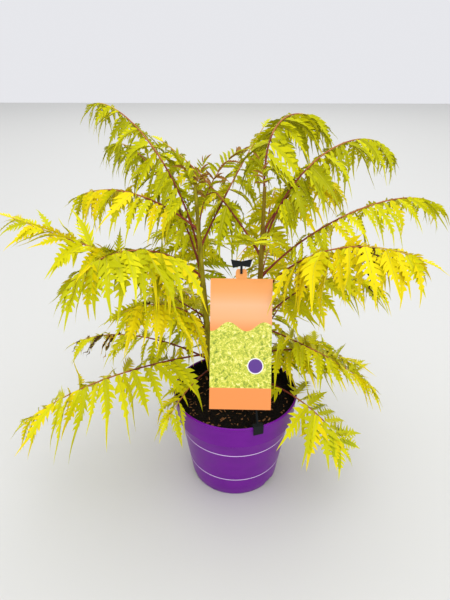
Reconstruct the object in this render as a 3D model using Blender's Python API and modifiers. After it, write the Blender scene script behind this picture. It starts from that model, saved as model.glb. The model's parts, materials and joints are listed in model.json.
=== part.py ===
"""A potted golden cut-leaf sumac: two whip stems, about thirty pinnate fronds and a nursery pot.

Metres, +Z up. The origin is the middle of the pot's flat underside. +X is to the right of
somebody who faces the picture card, and +Y points away from them.
"""

import math
import random
from dataclasses import dataclass, replace

import bmesh
import bpy
from mathutils import Matrix, Vector
from mathutils.bvhtree import BVHTree

# Driving sizes of the pot, a six-litre nursery container
POT_HEIGHT = 0.190
POT_RIM_RADIUS = 0.117
POT_BASE_RADIUS = 0.084
POT_WALL = 0.0018
POT_FLOOR = 0.0025
POT_SIDES = 40
BAND_HEIGHT = 0.044
BAND_FOOT_RADIUS = 0.1135
BODY_TOP_RADIUS = 0.1065
BASE_CHAMFER = 0.004
NOTCH_WIDTH = 0.042
NOTCH_HEIGHT = 0.007
NOTCH_HEADINGS = (-38.0, 82.0, 202.0)

# Potting mix
MIX_TOP = 0.170
MIX_DOME = 0.003
GAP = 0.0003

# Stems: lean, taper and root flare
STEM_FOOT_RADIUS = 0.0105
STEM_BASE_RADIUS = 0.0068
STEM_TIP_RADIUS = 0.0026
FLARE_HEIGHT = 0.022
STEM_TAPER_POWER = 1.15
STEM_TOP = 0.570
STEM_STEPS = 11
LEAN_POWER = 0.62

# Picture card on its stake
CARD_WIDTH = 0.104
CARD_LENGTH = 0.221
CARD_THICK = 0.0008
CARD_FOOT = Vector((0.0085, -0.102, 0.221))
CARD_LEAN = 24.6
TAB_WIDTH = 0.019
TAB_LENGTH = 0.016
TAB_HOLE_RADIUS = 0.0021
TAB_HOLE_SIDES = 10
TAB_OFFSET = -0.0005
HOLE_ALONG = CARD_LENGTH + TAB_LENGTH * 0.62
STAKE_RADIUS = 0.0019
STAKE_BEHIND = 0.0042
PIN_RADIUS = 0.0017
CORE_SIZE = Vector((0.0040, 0.020, 0.0024))
CLIP_X = 0.040
CLIP_SIZE = Vector((0.018, 0.0090, 0.018))
CLIP_ROOF = 0.0040
CLIP_SLOT = 0.0062
WING_SPAN = 0.036
WING_HEIGHT = 0.015
WING_WAIST = 0.004
WING_THICK = 0.0016

# Fronds
RACHIS_STEPS = 11
RACHIS_FOOT_RADIUS = 0.0019
RACHIS_TIP_RADIUS = 0.0008
FULL_RACHIS_LENGTH = 0.26
SEAT_ROUNDS = 4
SEAT_MARGIN = 1.15
PITCH_POWER = 1.2
PETIOLE_SHARE = 0.20
PAIR_SPACING = 0.0265
PAIR_STAGGER = 0.0022
FULL_LEAFLET = 0.08
FEWEST_PAIRS = 3
TERMINAL_SHARE = 0.80
LEAFLET_WIDTH_SHARE = 0.20
LEAFLET_THICK_SHARE = 0.016
LEAFLET_MID = 0.42
ROOT_SINK = 0.0010
BASE_SPREAD = 72.0
TIP_SPREAD = 40.0
LEAFLET_JITTER = 7.0
SAG_START_SHARE = 0.25
SAG_JITTER = 0.08
TRIES = 7
TRY_SWING = 13.0
GUARD_ROOT = 0.004
GUARD_THICK = 0.0016
GUARD_EDGE = 0.0007
LOWEST_LEAF = 0.004
SEED = 20


@dataclass(frozen=True)
class Frond:
    """One compound leaf: where it leaves its stem, and how its midrib arches.

    height: of its foot above the ground, in metres. heading: of its foot, in degrees
    anticlockwise from +X. rise, end: the midrib's slope at foot and tip, in degrees.
    length: along the midrib with the last leaflet. sweep: how far the heading turns on the
    way out. leaflet: the longest leaflet's length. sag: how far leaflet tips turn to the
    ground, from 0 for none to 1 for hanging straight down.
    """

    height: float
    heading: float
    rise: float
    end: float
    length: float
    sweep: float
    leaflet: float
    sag: float


@dataclass(frozen=True)
class Stem:
    """One stem: its side, where it stands in the mix, how far its tip leans along +X."""

    side: str
    foot_x: float
    foot_y: float
    lean: float
    fronds: tuple


# The left stem's fronds, from the top of the plant downwards
LEFT_FRONDS = (
    Frond(0.555, 165, 75, 35, 0.085, 0, 0.026, 0.10),
    Frond(0.550, 45, 80, 60, 0.070, 0, 0.024, 0.10),
    Frond(0.505, 50, 75, -5, 0.180, 0, 0.038, 0.15),
    Frond(0.498, 172, 38, -42, 0.290, -24, 0.085, 0.62),
    Frond(0.467, 55, 47, 25, 0.315, 10, 0.080, 0.66),
    Frond(0.458, 150, 75, -20, 0.440, -25, 0.080, 0.74),
    Frond(0.428, 105, 17, -30, 0.270, 31, 0.078, 0.60),
    Frond(0.420, 143, 73, -32, 0.425, -22, 0.084, 0.72),
    Frond(0.412, 198, 50, -80, 0.310, 10, 0.112, 0.74),
    Frond(0.397, 188, 22, 24, 0.335, -6, 0.090, 0.42),
    Frond(0.365, 95, 35, -35, 0.300, 10, 0.090, 0.60),
    Frond(0.330, 135, 5, -15, 0.240, -8, 0.090, 0.60),
    Frond(0.310, 207, 58, -42, 0.225, 5, 0.092, 0.70),
    Frond(0.275, 110, 25, -40, 0.290, 0, 0.095, 0.60),
    Frond(0.254, 207, 6, -50, 0.420, -28, 0.118, 0.66),
    Frond(0.240, 174, 26, -42, 0.330, -12, 0.088, 0.60),
    Frond(0.222, 242, 10, -52, 0.185, -4, 0.100, 0.50),
    Frond(0.222, 80, 20, -35, 0.250, 15, 0.095, 0.50),
)

# The right stem's fronds in the same order
RIGHT_FRONDS = (
    Frond(0.562, 120, 80, 50, 0.065, 0, 0.024, 0.10),
    Frond(0.550, 94, 67, -55, 0.335, -75, 0.086, 0.74),
    Frond(0.496, 42, 50, -72, 0.310, 20, 0.086, 0.68),
    Frond(0.484, 247, 12, -25, 0.210, 8, 0.066, 0.60),
    Frond(0.463, 22, 77, -57, 0.425, 22, 0.088, 0.74),
    Frond(0.455, 148, 51, 12, 0.325, -12, 0.080, 0.70),
    Frond(0.430, 80, 50, -30, 0.300, 0, 0.086, 0.62),
    Frond(0.417, -3, 50, -41, 0.450, 50, 0.092, 0.60),
    Frond(0.378, -28, 60, -35, 0.345, 8, 0.110, 0.76),
    Frond(0.350, 85, 30, -40, 0.320, -10, 0.095, 0.60),
    Frond(0.320, 30, 40, -55, 0.345, -12, 0.100, 0.62),
    Frond(0.318, -12, -18, -45, 0.280, 15, 0.092, 0.45),
    Frond(0.272, 65, 20, -40, 0.290, 10, 0.095, 0.60),
    Frond(0.258, 8, 8, -50, 0.240, 6, 0.092, 0.50),
    Frond(0.225, 40, 15, -45, 0.250, 0, 0.095, 0.50),
    Frond(0.204, -37, 6, -74, 0.255, 12, 0.108, 0.42),
)


STEMS = (
    Stem("left", -0.036, 0.020, -0.032, LEFT_FRONDS),
    Stem("right", 0.034, 0.015, 0.009, RIGHT_FRONDS),
)


def material(name, colour, roughness, metallic=0.0):
    """A plain Principled material."""
    made = bpy.data.materials.new(name)
    made.use_nodes = True
    shader = made.node_tree.nodes["Principled BSDF"]
    shader.inputs["Base Color"].default_value = (*colour, 1.0)
    shader.inputs["Roughness"].default_value = roughness
    shader.inputs["Metallic"].default_value = metallic
    made.diffuse_color = (*colour, 1.0)
    return made


def clear_scene():
    """Remove whatever the new file holds."""
    for thing in list(bpy.data.objects):
        bpy.data.objects.remove(thing, do_unlink=True)


def new_collection(name):
    """A collection under the scene's own."""
    made = bpy.data.collections.new(name)
    bpy.context.scene.collection.children.link(made)
    return made


def add_object(name, data, group, finish=None):
    """An object for the data, in the group."""
    made = bpy.data.objects.new(name, data)
    group.objects.link(made)
    if finish is not None:
        data.materials.append(finish)
    return made


def hide_helper(helper):
    """Mark a cutter as a helper."""
    helper.hide_render = True
    helper.display_type = "WIRE"


def evaluated_mesh(source, name, weld=1e-6):
    """The object's mesh with its modifiers applied and its doubles welded."""
    depsgraph = bpy.context.evaluated_depsgraph_get()
    mesh = bpy.data.meshes.new_from_object(source.evaluated_get(depsgraph))
    mesh.name = name
    bm = bmesh.new()
    bm.from_mesh(mesh)
    bmesh.ops.remove_doubles(bm, verts=bm.verts, dist=weld)
    bmesh.ops.recalc_face_normals(bm, faces=bm.faces)
    bm.to_mesh(mesh)
    bm.free()
    return mesh


def tube(name, points, radii, group, finish, resolution=0):
    """A tapered tube through the points, made a mesh."""
    curve = bpy.data.curves.new(name, "CURVE")
    curve.dimensions = "3D"
    curve.bevel_depth = 1.0
    curve.bevel_resolution = resolution
    curve.use_fill_caps = True
    spline = curve.splines.new("POLY")
    spline.points.add(len(points) - 1)
    for knot, place, radius in zip(spline.points, points, radii):
        knot.co = (*place, 1.0)
        knot.radius = radius
    guide = add_object(name + "_guide", curve, group)
    bpy.context.view_layer.update()
    made = add_object(name, evaluated_mesh(guide, name), group, finish)
    bpy.data.objects.remove(guide, do_unlink=True)
    return made


def turned(name, profile, group, finish, sides):
    """A profile of (radius, height) turned about Z."""
    mesh = bpy.data.meshes.new(name)
    verts = [(radius, 0.0, height) for radius, height in profile]
    edges = [(i, i + 1) for i in range(len(verts) - 1)]
    mesh.from_pydata(verts, edges, [])
    made = add_object(name, mesh, group, finish)
    screw = made.modifiers.new("turn", "SCREW")
    screw.steps = sides
    screw.render_steps = sides
    screw.use_merge_vertices = True
    screw.merge_threshold = 0.00005
    screw.use_smooth_shade = True
    return made


def flat_outline(name, loops, thickness, group, finish):
    """A flat outline with its holes, extruded to its thickness and made a mesh."""
    curve = bpy.data.curves.new(name, "CURVE")
    curve.dimensions = "2D"
    curve.fill_mode = "BOTH"
    curve.extrude = thickness / 2
    for loop in loops:
        spline = curve.splines.new("POLY")
        spline.points.add(len(loop) - 1)
        spline.use_cyclic_u = True
        for knot, (x, y) in zip(spline.points, loop):
            knot.co = (x, y, 0.0, 1.0)
    guide = add_object(name + "_guide", curve, group)
    bpy.context.view_layer.update()
    made = add_object(name, evaluated_mesh(guide, name), group, finish)
    bpy.data.objects.remove(guide, do_unlink=True)
    return made


def circle(centre_x, centre_y, radius, sides):
    """Points round a circle."""
    turn = 2 * math.pi / sides
    return [
        (centre_x + radius * math.cos(turn * i), centre_y + radius * math.sin(turn * i))
        for i in range(sides)
    ]


def box_mesh(name, size):
    """A box mesh about its middle."""
    mesh = bpy.data.meshes.new(name)
    bm = bmesh.new()
    bmesh.ops.create_cube(bm, size=1.0, matrix=Matrix.Diagonal((*size, 1.0)))
    bm.to_mesh(mesh)
    bm.free()
    return mesh


def cut_with(target, cutter):
    """Cut the target by a helper object or a collection of them."""
    cut = target.modifiers.new("cut", "BOOLEAN")
    cut.operation = "DIFFERENCE"
    if isinstance(cutter, bpy.types.Collection):
        cut.operand_type = "COLLECTION"
        cut.collection = cutter
    else:
        cut.object = cutter


# Pot and mix

def pot_profile():
    """Outer corner points of the pot's wall from the rim down, as (radius, height)."""
    band_foot = POT_HEIGHT - BAND_HEIGHT
    return [
        (POT_RIM_RADIUS, POT_HEIGHT),
        (POT_RIM_RADIUS, POT_HEIGHT - 0.003),
        (POT_RIM_RADIUS - 0.0012, POT_HEIGHT - 0.0045),
        (BAND_FOOT_RADIUS, band_foot),
        (BODY_TOP_RADIUS, band_foot - 0.0015),
        (POT_BASE_RADIUS + BASE_CHAMFER * 0.35, BASE_CHAMFER),
        (POT_BASE_RADIUS - BASE_CHAMFER * 0.35, 0.0),
    ]


def inner_radius(height):
    """The pot's inside radius at a height, up to the fold under its band."""
    top = POT_HEIGHT - BAND_HEIGHT - 0.0015
    share = (height - BASE_CHAMFER) / (top - BASE_CHAMFER)
    outer = POT_BASE_RADIUS + BASE_CHAMFER * 0.35
    return outer + (BODY_TOP_RADIUS - outer) * share - POT_WALL


def inside_profile(clear=0.0):
    """Corner points of the pot's inside from the middle of its floor up to its fold."""
    fold = POT_HEIGHT - BAND_HEIGHT + POT_WALL
    heel = POT_FLOOR + BASE_CHAMFER
    return [
        (0.0, POT_FLOOR + clear),
        (inner_radius(heel) - 0.003 - clear, POT_FLOOR + clear),
        (inner_radius(heel) - clear, heel + clear),
        (inner_radius(fold - 0.003) - clear, fold - 0.0015 + clear),
        (BAND_FOOT_RADIUS - POT_WALL - clear, fold + clear),
    ]


def build_pot(group, helpers, finish):
    """The turned shell with a stepped rim band and drainage notches at its foot."""
    mouth = [
        (POT_RIM_RADIUS - POT_WALL * 2, POT_HEIGHT - 0.0045),
        (POT_RIM_RADIUS - POT_WALL * 2, POT_HEIGHT),
    ]
    profile = inside_profile() + mouth + pot_profile() + [(0.0, 0.0)]
    pot = turned("pot", profile, group, finish, POT_SIDES)
    notches = bpy.data.collections.new("pot_notches")
    helpers.children.link(notches)
    for number, heading in enumerate(NOTCH_HEADINGS):
        size = (0.020, NOTCH_WIDTH, NOTCH_HEIGHT * 2)
        notch = add_object(f"notch_{number}", box_mesh(f"notch_{number}", size), notches)
        angle = math.radians(heading)
        reach = POT_BASE_RADIUS + 0.003
        notch.location = (reach * math.cos(angle), reach * math.sin(angle), 0.0)
        notch.rotation_euler = (0.0, 0.0, angle)
        bevel = notch.modifiers.new("round", "BEVEL")
        bevel.width = NOTCH_HEIGHT * 0.6
        bevel.segments = 2
        hide_helper(notch)
    cut_with(pot, notches)
    return pot


def build_mix(group, finish):
    """The filling of potting mix, slightly domed, clear of the wall all round."""
    fold_radius, fold = inside_profile()[-1]
    mouth = POT_HEIGHT - 0.0045
    flare = (POT_RIM_RADIUS - POT_WALL * 2 - fold_radius) * (MIX_TOP - fold) / (mouth - fold)
    top = [
        (0.0, MIX_TOP + MIX_DOME),
        (0.045, MIX_TOP + MIX_DOME * 0.9),
        (0.085, MIX_TOP + MIX_DOME * 0.4),
        (fold_radius + flare - GAP * 1.5, MIX_TOP),
    ]
    profile = top + inside_profile(GAP * 1.5)[::-1]
    return turned("potting_mix", profile, group, finish, POT_SIDES)


# Stems

def stem_point(stem, height):
    """The stem's middle at a height: it leans out low down and then stands up."""
    share = max(0.0, (height - MIX_TOP) / (STEM_TOP - MIX_TOP))
    return Vector((stem.foot_x + stem.lean * share**LEAN_POWER, stem.foot_y, height))


def stem_radius(height):
    """The stem's radius at a height, with the flare at its foot."""
    share = (height - MIX_TOP) / (STEM_TOP - MIX_TOP)
    thinning = STEM_TIP_RADIUS - STEM_BASE_RADIUS
    slim = STEM_BASE_RADIUS + thinning * max(share, 0.0) ** STEM_TAPER_POWER
    flare = max(0.0, 1.0 - (height - MIX_TOP) / FLARE_HEIGHT) ** 2
    return slim + (STEM_FOOT_RADIUS - STEM_BASE_RADIUS) * flare


def build_stem(stem, group, finish):
    """One stem from a flat cut on the mix to its tip."""
    start = MIX_TOP + MIX_DOME + GAP
    heights = [start, start + FLARE_HEIGHT * 0.2, start + FLARE_HEIGHT * 0.5, start + FLARE_HEIGHT]
    rest = STEM_TOP - heights[-1]
    heights += [heights[-1] + rest * (i + 1) / STEM_STEPS for i in range(STEM_STEPS)]
    points = [stem_point(stem, height) for height in heights]
    points[1].x = points[0].x
    radii = [stem_radius(height) for height in heights]
    return tube(f"stem_{stem.side}", points, radii, group, finish, resolution=2)


# Picture card and its stake

def card_matrix(along=0.0, across=0.0, front=0.0):
    """The frame of a spot on the leaning card: X to its right, Y up along it, Z to its front."""
    lean = math.radians(CARD_LEAN)
    right = Vector((1.0, 0.0, 0.0))
    up = Vector((0.0, math.sin(lean), math.cos(lean)))
    normal = right.cross(up)
    turn = Matrix((right, up, normal)).transposed().to_4x4()
    spot = CARD_FOOT + right * across + up * along + normal * front
    return Matrix.Translation(spot) @ turn


def build_card(group, finish):
    """The card with the hanging tab and its hole."""
    half = CARD_WIDTH / 2
    tab = TAB_WIDTH / 2
    top = CARD_LENGTH
    outline = [
        (-half, 0.0),
        (half, 0.0),
        (half, top),
        (TAB_OFFSET + tab, top),
        (TAB_OFFSET + tab, top + TAB_LENGTH * 0.6),
        (TAB_OFFSET + tab * 0.6, top + TAB_LENGTH),
        (TAB_OFFSET - tab * 0.6, top + TAB_LENGTH),
        (TAB_OFFSET - tab, top + TAB_LENGTH * 0.6),
        (TAB_OFFSET - tab, top),
        (-half, top),
    ]
    hole = circle(TAB_OFFSET, HOLE_ALONG, TAB_HOLE_RADIUS, TAB_HOLE_SIDES)
    card = flat_outline("picture_card", [outline, hole], CARD_THICK, group, finish)
    card.matrix_world = card_matrix()
    return card


def build_holder(group, helpers, finish):
    """The stake from its rim clip to the two-winged hanger, fused as one moulding."""
    pieces = bpy.data.collections.new("holder_pieces")
    helpers.children.link(pieces)
    angle = math.asin(CLIP_X / POT_RIM_RADIUS)
    wall_middle = POT_RIM_RADIUS - POT_WALL
    clip_top = POT_HEIGHT + CLIP_ROOF
    on_rim = Vector((wall_middle * math.sin(angle), -wall_middle * math.cos(angle), 0.0))
    behind_hole = card_matrix(HOLE_ALONG, TAB_OFFSET, -STAKE_BEHIND).translation
    stake_foot = on_rim + Vector((0.0, 0.0, clip_top - CLIP_ROOF / 2))
    tube("stake", [stake_foot, behind_hole], [STAKE_RADIUS, STAKE_RADIUS], pieces, finish, 1)
    front = CARD_THICK / 2 + GAP + CORE_SIZE.z / 2
    in_front = card_matrix(HOLE_ALONG, TAB_OFFSET, front).translation
    tube("pin", [behind_hole, in_front], [PIN_RADIUS, PIN_RADIUS], pieces, finish, 1)
    core = add_object("core", box_mesh("core", CORE_SIZE), pieces, finish)
    core.matrix_world = card_matrix(HOLE_ALONG + CORE_SIZE.y * 0.4, TAB_OFFSET, front)
    clip = add_object("clip", box_mesh("clip", CLIP_SIZE), pieces, finish)
    clip.location = on_rim + Vector((0.0, 0.0, clip_top - CLIP_SIZE.z / 2))
    clip.rotation_euler = (0.0, 0.0, angle)
    half = WING_SPAN / 2
    outline = [
        (-half, WING_HEIGHT * 0.45),
        (-half * 0.8, -WING_HEIGHT * 0.5),
        (0.0, -WING_WAIST),
        (half * 0.8, -WING_HEIGHT * 0.4),
        (half, WING_HEIGHT * 0.5),
        (0.0, WING_WAIST),
    ]
    wings = flat_outline("wings", [outline], WING_THICK, pieces, finish)
    wings.matrix_world = card_matrix(HOLE_ALONG + CORE_SIZE.y * 0.75, TAB_OFFSET, front)
    holder = fused("card_holder", pieces, group, finish)
    slot_size = Vector((CLIP_SIZE.x * 2, CLIP_SLOT, CLIP_SIZE.z * 2))
    slot = add_object("clip_slot", box_mesh("clip_slot", slot_size), helpers)
    slot.location = on_rim + Vector((0.0, 0.0, POT_HEIGHT + GAP - CLIP_SIZE.z))
    slot.rotation_euler = (0.0, 0.0, angle)
    hide_helper(slot)
    cut_with(holder, slot)
    return holder


def drop_scraps(mesh):
    """Keep only the largest body of a mesh."""
    bm = bmesh.new()
    bm.from_mesh(mesh)
    bodies, seen = [], set()
    for seed in bm.verts:
        if seed in seen:
            continue
        body, edge_of_body = {seed}, [seed]
        while edge_of_body:
            vertex = edge_of_body.pop()
            for edge in vertex.link_edges:
                other = edge.other_vert(vertex)
                if other not in body:
                    body.add(other)
                    edge_of_body.append(other)
        seen |= body
        bodies.append(body)
    bodies.sort(key=len, reverse=True)
    for body in bodies[1:]:
        bmesh.ops.delete(bm, geom=list(body), context="VERTS")
    bm.to_mesh(mesh)
    bm.free()


def fused(name, pieces, group, finish, solver="EXACT"):
    """Everything in the pieces collection as one closed body, by one union."""
    bpy.context.view_layer.update()
    objects = list(pieces.objects)
    first = objects[0]
    pieces.objects.unlink(first)
    bpy.context.scene.collection.objects.link(first)
    union = first.modifiers.new("union", "BOOLEAN")
    union.operation = "UNION"
    union.operand_type = "COLLECTION"
    union.collection = pieces
    union.solver = solver
    bpy.context.view_layer.update()
    mesh = evaluated_mesh(first, name, weld=1e-8)
    drop_scraps(mesh)
    mesh.transform(first.matrix_world)
    mesh.materials.clear()
    made = add_object(name, mesh, group, finish)
    for thing in objects:
        bpy.data.objects.remove(thing, do_unlink=True)
    bpy.data.collections.remove(pieces)
    return made


# Fronds

def frond_path(frond, foot):
    """The midrib's points from the stem outwards, one for each step."""
    step = frond.length / RACHIS_STEPS
    points = [foot.copy()]
    for i in range(RACHIS_STEPS):
        share = (i + 0.5) / RACHIS_STEPS
        pitch = math.radians(frond.rise + (frond.end - frond.rise) * share**PITCH_POWER)
        heading = math.radians(frond.heading + frond.sweep * share)
        flat = math.cos(pitch)
        way = Vector((flat * math.cos(heading), flat * math.sin(heading), math.sin(pitch)))
        points.append(points[-1] + way * step)
    return points


def frond_out(frond):
    """The level direction in which a frond leaves its stem."""
    heading = math.radians(frond.heading)
    return Vector((math.cos(heading), math.sin(heading), 0.0))


def frond_foot(frond, stem):
    """A start for the midrib that is safely clear of the stem."""
    reach = stem_radius(frond.height) + RACHIS_FOOT_RADIUS + GAP
    return stem_point(stem, frond.height) + frond_out(frond) * reach


def seat_on_stem(midrib, frond, stem_tree):
    """Slide a midrib in along its heading until its end face is GAP from the stem."""
    for _ in range(SEAT_ROUNDS):
        clear = min(stem_tree.find_nearest(corner.co)[3] for corner in midrib.data.vertices)
        slide = frond_out(frond) * (GAP * SEAT_MARGIN - clear)
        midrib.data.transform(Matrix.Translation(slide))
    return midrib


def along(points, share):
    """The point and direction at a share of the path."""
    place = min(max(share, 0.0), 1.0) * (len(points) - 1)
    low = min(int(place), len(points) - 2)
    way = points[low + 1] - points[low]
    return points[low] + way * (place - low), way.normalized()


@dataclass
class Leaflet:
    """One leaflet: its root on the midrib, its two bends and its size."""

    root: Vector
    first_way: Vector
    last_way: Vector
    midrib_way: Vector
    length: float


def sagged(way, share):
    """A direction turned towards the ground by a share."""
    return (way * (1.0 - share) + Vector((0.0, 0.0, -1.0)) * share).normalized()


def leaflet_size(frond, share):
    """Leaflets are longest at a third of the leafy part and shrink towards both ends."""
    swell = 0.62 + 0.38 * math.sin(math.pi * (0.20 + 0.62 * share))
    return frond.leaflet * swell * (1.0 - 0.28 * share**2)


def frond_leaflets(frond, points, dice):
    """The leaflets that one frond would carry if it had the air to itself."""
    terminal = leaflet_size(frond, 1.0) * TERMINAL_SHARE
    leafy = (frond.length - terminal) - frond.length * PETIOLE_SHARE
    spacing = PAIR_SPACING * max(0.45, min(1.1, frond.leaflet / FULL_LEAFLET))
    pairs = max(FEWEST_PAIRS, round(leafy / spacing))
    grown = []
    for i in range(pairs):
        share = i / pairs
        spot = (frond.length * PETIOLE_SHARE + leafy * share) / frond.length
        for hand in (1, -1):
            stagger = hand * dice.uniform(0.1, 0.9) * PAIR_STAGGER / frond.length
            root, way = along(points, spot + stagger)
            side = way.cross(Vector((0.0, 0.0, 1.0))).normalized()
            spread = BASE_SPREAD + (TIP_SPREAD - BASE_SPREAD) * share
            spread = math.radians(spread + dice.uniform(-1, 1) * LEAFLET_JITTER)
            out = way * math.cos(spread) + side * hand * math.sin(spread)
            sag = frond.sag + dice.uniform(-1, 1) * SAG_JITTER
            size = leaflet_size(frond, share) * dice.uniform(0.9, 1.08)
            first = sagged(out, SAG_START_SHARE * sag)
            grown.append(Leaflet(root, first, sagged(out, sag), way, size))
    root, way = along(points, 1.0 - terminal / frond.length)
    grown.append(Leaflet(root, way, sagged(way, 0.25), side, terminal))
    return grown


def leaflet_solid(leaflet, root_out=-ROOT_SINK, thick_extra=0.0, edge_extra=0.0):
    """Corners and faces of a leaflet: a kite, bent at its middle, of eight faces."""
    first = leaflet.first_way
    root = leaflet.root + first * root_out
    middle = leaflet.root + first * leaflet.length * LEAFLET_MID
    tip = middle + leaflet.last_way * (leaflet.length * (1.0 - LEAFLET_MID) + edge_extra)
    width_way = leaflet.midrib_way - first * leaflet.midrib_way.dot(first)
    width_way.normalize()
    face_way = first.cross(width_way)
    half_width = leaflet.length * LEAFLET_WIDTH_SHARE / 2 + edge_extra
    half_thick = leaflet.length * LEAFLET_THICK_SHARE / 2 + thick_extra
    corners = [
        root,
        middle + width_way * half_width,
        middle + face_way * half_thick,
        middle - width_way * half_width,
        middle - face_way * half_thick,
        tip,
    ]
    ring = [1, 2, 3, 4]
    faces = []
    for a, b in zip(ring, ring[1:] + ring[:1]):
        faces.append((0, b, a))
        faces.append((5, a, b))
    return corners, faces


def swung(leaflet, angle):
    """The same leaflet turned about the midrib by an angle in degrees."""
    turn = Matrix.Rotation(math.radians(angle), 3, leaflet.midrib_way)
    return replace(leaflet, first_way=turn @ leaflet.first_way, last_way=turn @ leaflet.last_way)


def tree_of(thing):
    """A search tree of an object's evaluated mesh, in world space."""
    corners, faces = world_faces(thing)
    return BVHTree.FromPolygons(corners, faces)


def world_faces(thing):
    """Corners and faces of an object's evaluated mesh, in world space."""
    mesh = evaluated_mesh(thing, "measured")
    corners = [thing.matrix_world @ vertex.co for vertex in mesh.vertices]
    faces = [tuple(face.vertices) for face in mesh.polygons]
    bpy.data.meshes.remove(mesh)
    return corners, faces


class Air:
    """What already stands in the air, for the test that keeps leaflets apart."""

    def __init__(self):
        self.taken = []

    def take(self, corners, faces, owner):
        """Add a solid."""
        tree = BVHTree.FromPolygons(corners, faces)
        low = Vector(min(c[i] for c in corners) for i in range(3))
        high = Vector(max(c[i] for c in corners) for i in range(3))
        self.taken.append((tree, low, high, owner))

    def take_object(self, thing, owner):
        """Add an object's evaluated mesh."""
        self.take(*world_faces(thing), owner)

    def free(self, corners, faces, owner):
        """Whether a solid touches nothing that another owner has put there."""
        if min(corner.z for corner in corners) < LOWEST_LEAF:
            return False
        tree = BVHTree.FromPolygons(corners, faces)
        low = Vector(min(c[i] for c in corners) for i in range(3))
        high = Vector(max(c[i] for c in corners) for i in range(3))
        for other, other_low, other_high, other_owner in self.taken:
            if other_owner == owner:
                continue
            if any(high[i] < other_low[i] or low[i] > other_high[i] for i in range(3)):
                continue
            if tree.overlap(other):
                return False
        return True


def build_midrib(name, frond, points, group, finish):
    """The frond's midrib as a slim tapered tube, up to its last leaflet's root."""
    terminal = leaflet_size(frond, 1.0) * TERMINAL_SHARE
    end = 1.0 - terminal * 0.9 / frond.length
    shares = [end * i / RACHIS_STEPS for i in range(RACHIS_STEPS + 1)]
    path = [along(points, share)[0] for share in shares]
    slim = min(1.0, frond.length / FULL_RACHIS_LENGTH)
    thinning = RACHIS_TIP_RADIUS - RACHIS_FOOT_RADIUS
    radii = [slim * (RACHIS_FOOT_RADIUS + thinning * share) for share in shares]
    return tube(name, path, radii, group, finish)


def place_leaflet(leaflet, air, owner):
    """Corners and faces of the leaflet where it finds room, swung about its midrib if need be."""
    for attempt in range(TRIES):
        side = 1 if attempt % 2 else -1
        tried = swung(leaflet, (attempt + 1) // 2 * TRY_SWING * side)
        guard = leaflet_solid(tried, GUARD_ROOT, GUARD_THICK, GUARD_EDGE)
        solid = leaflet_solid(tried)
        if air.free(*guard, owner) and air.free(*solid, owner):
            air.take(*solid, owner)
            return solid
    return None


def build_fronds(stem_objects, air, group, helpers, finish):
    """Every frond: all midribs first, then leaflets wherever they find room."""
    plans = []
    for stem, stem_object in zip(STEMS, stem_objects):
        stem_tree = tree_of(stem_object)
        for number, frond in enumerate(stem.fronds, 1):
            name = f"frond_{stem.side}_{number:02d}"
            points = frond_path(frond, frond_foot(frond, stem))
            pieces = bpy.data.collections.new(name + "_pieces")
            helpers.children.link(pieces)
            midrib = build_midrib(name + "_midrib", frond, points, pieces, finish)
            before = midrib.data.vertices[0].co.copy()
            seat_on_stem(midrib, frond, stem_tree)
            slide = midrib.data.vertices[0].co - before
            air.take_object(midrib, name)
            plans.append((name, frond, [point + slide for point in points], pieces))
    for order, (name, frond, points, pieces) in enumerate(plans):
        dice = random.Random(SEED + order)
        for number, leaflet in enumerate(frond_leaflets(frond, points, dice)):
            solid = place_leaflet(leaflet, air, name)
            if solid is not None:
                mesh = bpy.data.meshes.new(f"{name}_leaflet_{number}")
                mesh.from_pydata(solid[0], [], solid[1])
                add_object(mesh.name, mesh, pieces, finish)
        fused(name, pieces, group, finish, "MANIFOLD")


def main():
    """Build the potted plant."""
    clear_scene()
    plant = new_collection("potted_sumac")
    helpers = new_collection("helpers")
    purple = material("pot_purple", (0.14, 0.007, 0.30), 0.35)
    black = material("holder_black", (0.012, 0.016, 0.015), 0.45)
    soil = material("mix_brown", (0.018, 0.012, 0.008), 0.95)
    bark = material("stem_olive", (0.16, 0.14, 0.03), 0.70)
    gold = material("leaf_gold", (0.55, 0.52, 0.03), 0.55)
    orange = material("card_orange", (0.90, 0.33, 0.08), 0.45)
    solids = [build_pot(plant, helpers, purple), build_mix(plant, soil)]
    solids += [build_card(plant, orange), build_holder(plant, helpers, black)]
    stem_objects = [build_stem(stem, plant, bark) for stem in STEMS]
    bpy.context.view_layer.update()
    air = Air()
    for thing in solids + stem_objects:
        air.take_object(thing, thing.name)
    build_fronds(stem_objects, air, plant, helpers, gold)


main()
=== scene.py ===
"""Dress a packed potted sumac: a purple nursery pot, two stems and golden cut-leaf fronds.

The sizes are those of the part's source. Every frond is grown here again by its rule, with
finer, deeply lobed leaflets on a round midrib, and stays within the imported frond's reach.
"""

import json
import logging
import math
import random
from dataclasses import dataclass, field
from enum import Enum

import bmesh
import bpy
from bpy.types import Collection, Material, Node, NodeSocket, Object
from mathutils import Matrix, Vector, noise

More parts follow.
